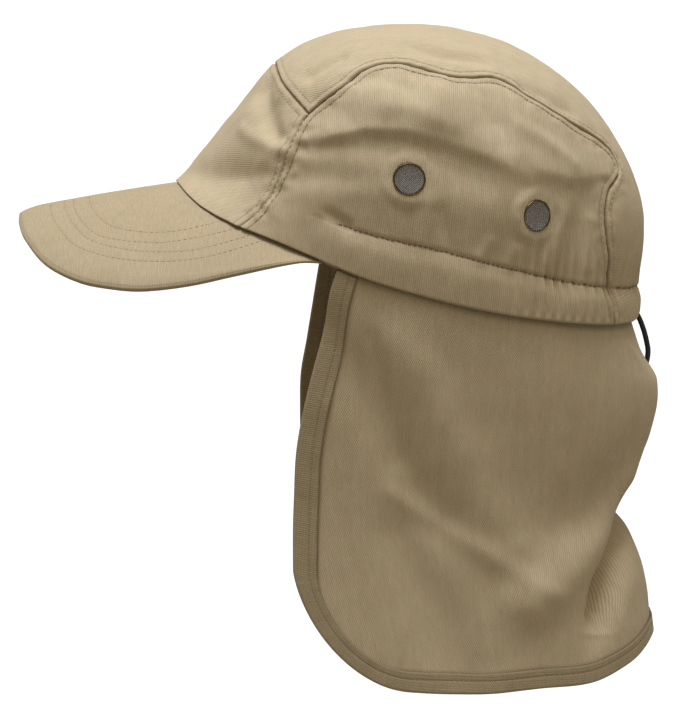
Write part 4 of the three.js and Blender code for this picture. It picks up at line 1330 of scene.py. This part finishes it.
def makeStitches():
    top, front = "crown_top_panel", "crown_front_panel"
    sides = ((1, "left"), (-1, "right"))
    for side, name in sides:
        own = f"crown_side_panel_{name}"
        stitches(f"side_stitches_{name}", (seamRow("side", side), own, "seam"))
        stitches(f"casing_stitches_{name}", (casingRow("sideRow", side), own, "casing"))
    stitches("top_stitches", *((seamRow("top", side), top, "seam") for side, _ in sides))
    stitches("casing_stitches_back", (casingRow("backRow"), top, "casing"))
    rows = [(crossRow(1), top, "seam"), (crossRow(-1), front, "seam")]
    for side, name in sides:
        rows.append((seamRow("front", side), front, "seam"))
        rows.append((seamRow("light", side), f"crown_side_panel_{name}", "light"))
    stitches("front_stitches", *rows)
    billLines = ((billRow(row), "bill", "bill") for row in rowNames)
    stitches("bill_stitches", *billLines, slot="bill_twill")
    print("stitches made")


# Shading: a socket in a material, on which Python's operators add Math nodes
class Wire:
    def __init__(self, tree, socket=None):
        self.tree = tree
        self.socket = socket

    def node(self, kind, settings, sockets, out=0):
        new = self.tree.nodes.new("ShaderNode" + kind)
        for name, value in settings.items():
            setattr(new, name, value)
        for name, value in sockets.items():
            if isinstance(value, Wire):
                self.tree.links.new(value.socket, new.inputs[name])
            else:
                new.inputs[name].default_value = value
        return Wire(self.tree, new.outputs[out])

    def maths(self, operation, *values):
        return self.node("Math", {"operation": operation}, dict(enumerate(values)))

    def __add__(self, other):
        return self.maths("ADD", self, other)

    def __sub__(self, other):
        return self.maths("SUBTRACT", self, other)

    def __rsub__(self, other):
        return self.maths("SUBTRACT", other, self)

    def __mul__(self, other):
        return self.maths("MULTIPLY", self, other)

    __radd__ = __add__
    __rmul__ = __mul__


def blend(a, b, factor):  # mixes two colours by a wire
    return factor.node("Mix", {"data_type": "RGBA"}, {0: factor, 6: a, 7: b}, out=2)


def colour(red, green, blue):  # from sRGB values of 0 to 255
    def linear(value):
        value /= 255
        return value / 12.92 if value <= 0.04045 else ((value + 0.055) / 1.055) ** 2.4

    return (linear(red), linear(green), linear(blue), 1)


def newMaterial(name, **sockets):
    material = bpy.data.materials.new(name)
    material.use_nodes = True
    shader = material.node_tree.nodes["Principled BSDF"]
    for socket, value in sockets.items():
        shader.inputs[socket.replace("_", " ")].default_value = value
    return material, Wire(material.node_tree), shader


def twill(name, light, dark, shadeColour, lean, pitch=0.78, rough=0.92, contrast=0.8, relief=0.6, streaks=0.3):
    material, start, shader = newMaterial(name, Roughness=rough, Sheen_Weight=0.04, Sheen_Roughness=0.5)
    cloth = start.node("UVMap", {"uv_map": "cloth"}, {})
    split = cloth.node("SeparateXYZ", {}, {0: cloth})
    x = split * 1000
    y = Wire(x.tree, split.socket.node.outputs[1]) * 1000
    turn = math.radians(lean)
    wobble = cloth.node("TexNoise", {}, {"Vector": cloth, "Scale": 90.0, "Detail": 2.0})
    rib = (x * math.cos(turn) + y * math.sin(turn)) * (1 / pitch) + wobble * 0.8
    wave = rib.maths("SINE", rib * (2 * math.pi))
    yarn = (y * math.cos(turn) - x * math.sin(turn)) * (1 / (pitch * 1.5)) + rib * 0.5
    bead = yarn.maths("SINE", yarn * (2 * math.pi))
    height = wave * 0.35 + bead * 0.12 + 0.5
    slubPlace = cloth.node("Mapping", {}, {"Vector": cloth, "Scale": (1500.0, 170.0, 1.0)})
    slub = cloth.node("TexNoise", {}, {"Vector": slubPlace, "Scale": 1.0, "Detail": 2.0})
    cloud = cloth.node("TexNoise", {}, {"Vector": cloth, "Scale": 45.0, "Detail": 4.0, "Roughness": 0.6})
    speck = cloth.node("TexNoise", {}, {"Vector": cloth, "Scale": 900.0, "Detail": 3.0})
    streakPlace = cloth.node("Mapping", {}, {"Vector": cloth, "Scale": (240.0, 34.0, 1.0)})
    streak = cloth.node("TexNoise", {}, {"Vector": streakPlace, "Scale": 1.0, "Detail": 3.0})
    tone = height * contrast + slub * 0.7 + cloud * 0.3 + speck * 0.3 + streak * streaks
    tone = tone - (0.15 + streaks / 2 + contrast / 2)
    tone = tone.node("Clamp", {}, {0: tone})
    base = blend(dark, light, tone)
    # painted shade: darkens the cloth towards the shade colour in seams, stitch rows and hems, and under
    # edges
    paintedShade = start.node("Attribute", {"attribute_name": "paintedShade"}, {}, out=2)
    base = blend(base, shadeColour, paintedShade * 0.7)
    tree = material.node_tree
    tree.links.new(base.socket, shader.inputs["Base Color"])
    bumpHeight = height + slub * 0.8 + speck * 0.4
    bump = start.node("Bump", {}, {"Strength": relief, "Distance": 0.0002, "Height": bumpHeight})
    tree.links.new(bump.socket, shader.inputs["Normal"])
    rougher = slub * 0.1 + (rough - 0.05)
    tree.links.new(rougher.socket, shader.inputs["Roughness"])
    return material


def plain(name, base, other, rough, metal=0.0, scale=300.0, relief=0.15):
    material, start, shader = newMaterial(name, Metallic=metal)
    place = start.node("TexCoord", {}, {}, out=3)
    cloud = start.node("TexNoise", {}, {"Vector": place, "Scale": scale, "Detail": 4.0})
    tree = material.node_tree
    tree.links.new(blend(base, other, cloud).socket, shader.inputs["Base Color"])
    tree.links.new((cloud * 0.2 + (rough - 0.1)).socket, shader.inputs["Roughness"])
    bump = start.node("Bump", {}, {"Strength": relief, "Distance": 0.0001, "Height": cloud})
    tree.links.new(bump.socket, shader.inputs["Normal"])
    return material


# the darkest colour is painted shade, laid into seams, stitch rows and hems, and under the crown's rim
khaki = dict(light=colour(206, 189, 158), dark=colour(168, 150, 117), shadeColour=colour(104, 88, 60))


def finish():
    side = twill("side twill", lean=-6, pitch=0.86, contrast=0.8, relief=0.6, streaks=0.45, **khaki)
    top = twill("top twill", lean=50, pitch=0.9, contrast=0.7, relief=0.5, **khaki)
    front = twill("front twill", lean=60, pitch=0.8, contrast=0.4, relief=0.35, streaks=0.2, **khaki)
    flapCloth = twill("flap twill", lean=-25, pitch=0.78, contrast=0.9, relief=0.7, streaks=0.5, **khaki)
    billCloth = twill("bill twill", lean=-45, pitch=0.8, contrast=0.6, streaks=0, light=colour(188, 171, 141),
                      dark=colour(149, 131, 99), shadeColour=khaki["shadeColour"])
    bandCloth = twill("band cotton", lean=45, pitch=0.6, **khaki)
    tapeCloth = twill("tape twill", lean=35, pitch=1.0, contrast=0.7, light=colour(178, 162, 130),
                      dark=colour(138, 122, 92), shadeColour=colour(96, 82, 56))
    threadLook = plain("thread", colour(196, 178, 146), colour(170, 152, 120), 0.8, scale=900.0)
    brass = plain("aged brass", colour(112, 94, 62), colour(62, 52, 36), 0.3, metal=0.9)
    lightThread = plain("light thread", colour(222, 208, 178), colour(200, 184, 152), 0.8, scale=900.0)
    darkThread = plain("dark thread", colour(132, 114, 82), colour(104, 88, 60), 0.8, scale=900.0)
    wire = plain("wire mesh", colour(158, 154, 146), colour(118, 114, 106), 0.5, metal=0.3)
    cordLook = plain("black elastic", colour(20, 20, 23), colour(34, 34, 38), 0.8, scale=1500.0, relief=0.5)
    lockLook = plain("lock plastic", colour(24, 24, 27), colour(30, 30, 33), 0.45)
    looks = dict(
        crown_side=side,
        crown_top=top,
        crown_front=front,
        neck_flap=flapCloth,
        bill=billCloth,
        sweatband=bandCloth,
        flap_tape=tapeCloth,
        vent_ring=brass,
        vent_mesh=wire,
        draw_cord=cordLook,
        cord_lock=lockLook,
    )
    for name, piece in made.items():
        look = next((m for start, m in looks.items() if name.startswith(start)), threadLook)
        if "stitches" in name:
            look = dict(front=lightThread, casing=darkThread).get(name.split("_")[0], threadLook)
        piece.data.materials.clear()
        piece.data.materials.append(look)
    print("finishes made")


# Vents
def ventMatrix(name):
    middle, way = ventPoses[name]
    z = Vector(way)
    return poseAt(Vector(middle), Vector((0, 0, 1)).cross(z).normalized(), z)


def ventRing(name):
    v = vent
    back = -(crown["wall"] + 0.5 * mm)
    outer, hole, barrel = v["radius"], v["hole"], v["barrel"] + 0.25 * mm
    profile = [  # the radius and height of each corner, from the back of the hole round to its front
        (hole, back),
        (outer - 0.5 * mm, back),
        (outer - 0.5 * mm, back + 0.4 * mm),
        (barrel, back + 0.5 * mm),
        (barrel, -0.3 * mm),
        (outer, -0.35 * mm),
        (outer + 0.06 * mm, 0),
        (outer - 0.12 * mm, 0.42 * mm),
        (outer - 0.42 * mm, 0.62 * mm),
        (hole + 0.25 * mm, 0.5 * mm),
        (hole, 0.22 * mm),
    ]
    bm = turned(profile, 72, ventMatrix(name), ring=True)
    newPiece("vent_ring_" + name, bm, "vent_ring_" + name, slot="aged_brass")


def ventMesh(name):
    v = vent
    bm = bmesh.new()
    reach = v["hole"] + v["meshReach"]
    count = int(reach / v["pitch"])
    turn = Matrix.Rotation(math.radians(v["meshTurn"]), 4, "Z")
    for way in (0, 1):
        for i in range(-count, count + 1):
            aside = i * v["pitch"]
            half = math.sqrt(max(reach ** 2 - aside ** 2, 0))
            steps = max(int(4 * half / v["pitch"]), 2)
            grid = bmesh.ops.create_grid(bm, x_segments=steps, y_segments=5, size=1)["verts"]
            for vert in grid:
                t, k = vert.co.x, (vert.co.y + 1) / 2 * 2 * math.pi
                x = half * t
                weave = (1 if way else -1) * (1 if i % 2 else -1)
                z = v["wire"] * v["weave"] * weave * math.cos(math.pi * x / v["pitch"])
                z -= v["dish"] * (1 - (x * x + aside * aside) / reach ** 2)
                y = aside + v["wire"] * math.cos(k)
                z += v["wire"] * math.sin(k)
                vert.co = (x, y, z) if way else (-y, x, z)
    bmesh.ops.remove_doubles(bm, verts=bm.verts, dist=0.001 * mm)
    bmesh.ops.holes_fill(bm, edges=[e for e in bm.edges if e.is_boundary], sides=8)
    bmesh.ops.recalc_face_normals(bm, faces=bm.faces)
    bmesh.ops.transform(bm, matrix=ventMatrix(name) @ turn, verts=bm.verts)
    newPiece("vent_mesh_" + name, bm, "vent_mesh_" + name, slot="wire_mesh")


# Draw cord: its points are listed in millimetres
cord = dict(diameter=2.4 * mm, sides=14, step=0.5 * mm, strands=3, strandRings=7, strandDepth=0.05)
cordRoute = [
    (99.9, 8.8, -8),
    (102, 8.7, -9.6),
    (104.4, 8.5, -13.2),
    (106.4, 8.4, -18),
    (108, 8.8, -23.5),
    (109, 9.8, -29),
    (108.4, 12.6, -35),
    (106.4, 17, -40.4),
    (104.4, 21.2, -44.4),
    (103.8, 22.9, -49),
    (103.6, 23.2, -62),
    (103.4, 22.6, -66),
    (103.2, 19.5, -75),
    (102.9, 20.8, -79),
    (102.6, 24.2, -81.5),
    (102.4, 28.4, -81.5),
    (102.1, 31.8, -79),
    (101.8, 33.1, -75),
    (101.9, 30, -66),
    (102, 29.2, -62),
    (102.2, 28.9, -49),
    (102.4, 27.6, -43),
    (102.6, 24.8, -34),
    (102.2, 22.4, -25),
    (101.5, 21.1, -17.5),
    (101.1, 20.7, -13.3),
    (100.2, 20.4, -10.3),
    (98.7, 20.2, -8),
]


def cordPath():  # an even run of points on a smooth curve through the route
    p = np.array(cordRoute) * mm
    ends = np.concatenate((2 * p[:1] - p[1:2], p, 2 * p[-1:] - p[-2:-1]))
    line = []
    for a, b, c, d in zip(ends, ends[1:], ends[2:], ends[3:]):
        for t in np.linspace(0, 1, 24, endpoint=False):
            line.append(0.5 * (2 * b + (c - a) * t + (2 * a - 5 * b + 4 * c - d) * t * t
                               + (3 * b - a - 3 * c + d) * t ** 3))
    line = np.array(line + [p[-1]])
    along = np.concatenate(([0], np.cumsum(np.linalg.norm(np.diff(line, axis=0), axis=1))))
    at = np.linspace(0, along[-1], int(along[-1] / cord["step"]))
    return np.stack([np.interp(at, along, line[:, i]) for i in range(3)], -1), float(along[-1])


def makeCord():
    path, length = cordPath()
    bm = bmesh.new()
    radius = cord["diameter"] / 2
    side = Vector((0, 0, 1))
    rings = []
    for i, place in enumerate(path):
        ahead = Vector(path[min(i + 1, len(path) - 1)] - path[max(i - 1, 0)]).normalized()
        side = (side - ahead * side.dot(ahead)).normalized()
        if side.length < 0.5:
            side = ahead.orthogonal().normalized()
        matrix = poseAt(Vector(place), side, ahead)
        ring = bmesh.ops.create_circle(bm, segments=cord["sides"], radius=radius, matrix=matrix)["verts"]
        for k, vert in enumerate(ring):  # the braid's over and under
            round_, on = cord["strands"] * k / cord["sides"], i / cord["strandRings"]
            weave = math.sin(2 * math.pi * (on + round_)) * math.sin(2 * math.pi * (on - round_))
            vert.co += (vert.co - Vector(place)) * cord["strandDepth"] * weave
        rings.append(ring)
    for a, b in zip(rings, rings[1:]):
        edges = [e for e in {e for v in a + b for e in v.link_edges}
                 if (e.verts[0] in a and e.verts[1] in a) or (e.verts[0] in b and e.verts[1] in b)]
        bmesh.ops.bridge_loops(bm, edges=edges)
    bmesh.ops.holes_fill(bm, edges=[e for e in bm.edges if e.is_boundary], sides=0)
    bmesh.ops.recalc_face_normals(bm, faces=bm.faces)
    piece = newPiece("draw_cord", bm, "draw_cord", slot="black_cord")
    return piece, path, length


# Cord lock
lock = dict(radius=5.5 * mm, height=17 * mm, ends=((9, 10), (20, 19)))
lockOutline = table(  # out is a share of the radius, up of half the height, and step is in millimetres
    "out up step",
    (0, -1, 0),
    (0.72, -1, 0),
    (0.86, -1, 0.6),
    (0.9, -1, 1.6),
    (0.94, -0.5, 0),
    (0.86, -0.42, 0),
    (0.86, -0.3, 0),
    (0.96, -0.22, 0),
    (1, 0, 0),
    (0.96, 0.22, 0),
    (0.86, 0.3, 0),
    (0.86, 0.42, 0),
    (0.92, 0.5, 0),
    (0.84, 0.62, 0),
    (0.62, 0.66, 0),
    (0.62, 1, -0.8),
    (0.5, 1, 0),
    (0, 1, 0),
)


def makeLock():
    corners = [Vector(cordRoute[i]) * mm for pair in lock["ends"] for i in pair]
    middle = sum(corners, Vector()) / 4
    up = (corners[0] - corners[1]).normalized()
    r, h = lock["radius"], lock["height"] / 2
    profile = [(out * r, share * h + step * mm) for out, share, step in zip(*lockOutline.values())]
    bm = turned(profile, 40, poseAt(middle, up.orthogonal().normalized(), up))
    return newPiece("cord_lock", bm, "cord_lock", slot="lock_plastic")


# Floor and light
studio = dict(
    floorHeight=-0.26,
    floorReach=150,
    soft=0.3,
    softColour=(1, 0.89, 0.71, 1),
    lamps=(
        ("key", 3.45, 32, (-0.1, -0.1, 0.99), (0.86, 0.91, 1)),
        ("rear", 0.6, 50, (0.2, -0.45, 0.87), (1, 0.94, 0.84)),
    ),
)


def makeStudio():
    bm = bmesh.new()
    bmesh.ops.create_grid(bm, x_segments=1, y_segments=1, size=studio["floorReach"])
    for vert in bm.verts:
        vert.co.z = studio["floorHeight"]
    mesh = bpy.data.meshes.new("floor")
    bm.to_mesh(mesh)
    bm.free()
    floor = bpy.data.objects.new("floor", mesh)
    bpy.context.collection.objects.link(floor)
    material = newMaterial("pale floor", Base_Color=(0.82, 0.82, 0.82, 1), Roughness=1.0)[0]
    mesh.materials.append(material)
    floor.visible_diffuse = False  # no light comes back up from it
    for name, energy, angle, way, tint in studio["lamps"]:
        sun = bpy.data.lights.new(name, "SUN")
        sun.energy = energy
        sun.color = tint
        sun.angle = math.radians(angle)
        lamp = bpy.data.objects.new(name, sun)
        lamp.rotation_euler = Vector(way).to_track_quat("Z", "Y").to_euler()
        bpy.context.collection.objects.link(lamp)
    world = bpy.data.worlds.new("studio")
    world.use_nodes = True
    tree = world.node_tree
    soft = tree.nodes["Background"]
    soft.inputs[0].default_value = studio["softColour"]
    soft.inputs[1].default_value = studio["soft"]
    white = tree.nodes.new("ShaderNodeBackground")
    seen = tree.nodes.new("ShaderNodeLightPath")
    both = tree.nodes.new("ShaderNodeMixShader")
    tree.links.new(seen.outputs["Is Camera Ray"], both.inputs[0])
    tree.links.new(soft.outputs[0], both.inputs[1])
    tree.links.new(white.outputs[0], both.inputs[2])
    tree.links.new(both.outputs[0], tree.nodes["World Output"].inputs[0])
    white.inputs[0].default_value = (1, 1, 1, 1)
    bpy.context.scene.world = world
    bpy.context.scene.view_settings.view_transform = "Standard"
    print("studio made")


makeCamera(photo)
cordPiece, path, cordLength = makeCord()
lockPiece = makeLock()
makeCrown()
makeBill()
flapPiece = makeFlap()
tapePiece = makeTape()
makeBand()
for ventName in ventPlaces:
    ventRing(ventName)
    ventMesh(ventName)
makeStitches()
finish()
makeStudio()
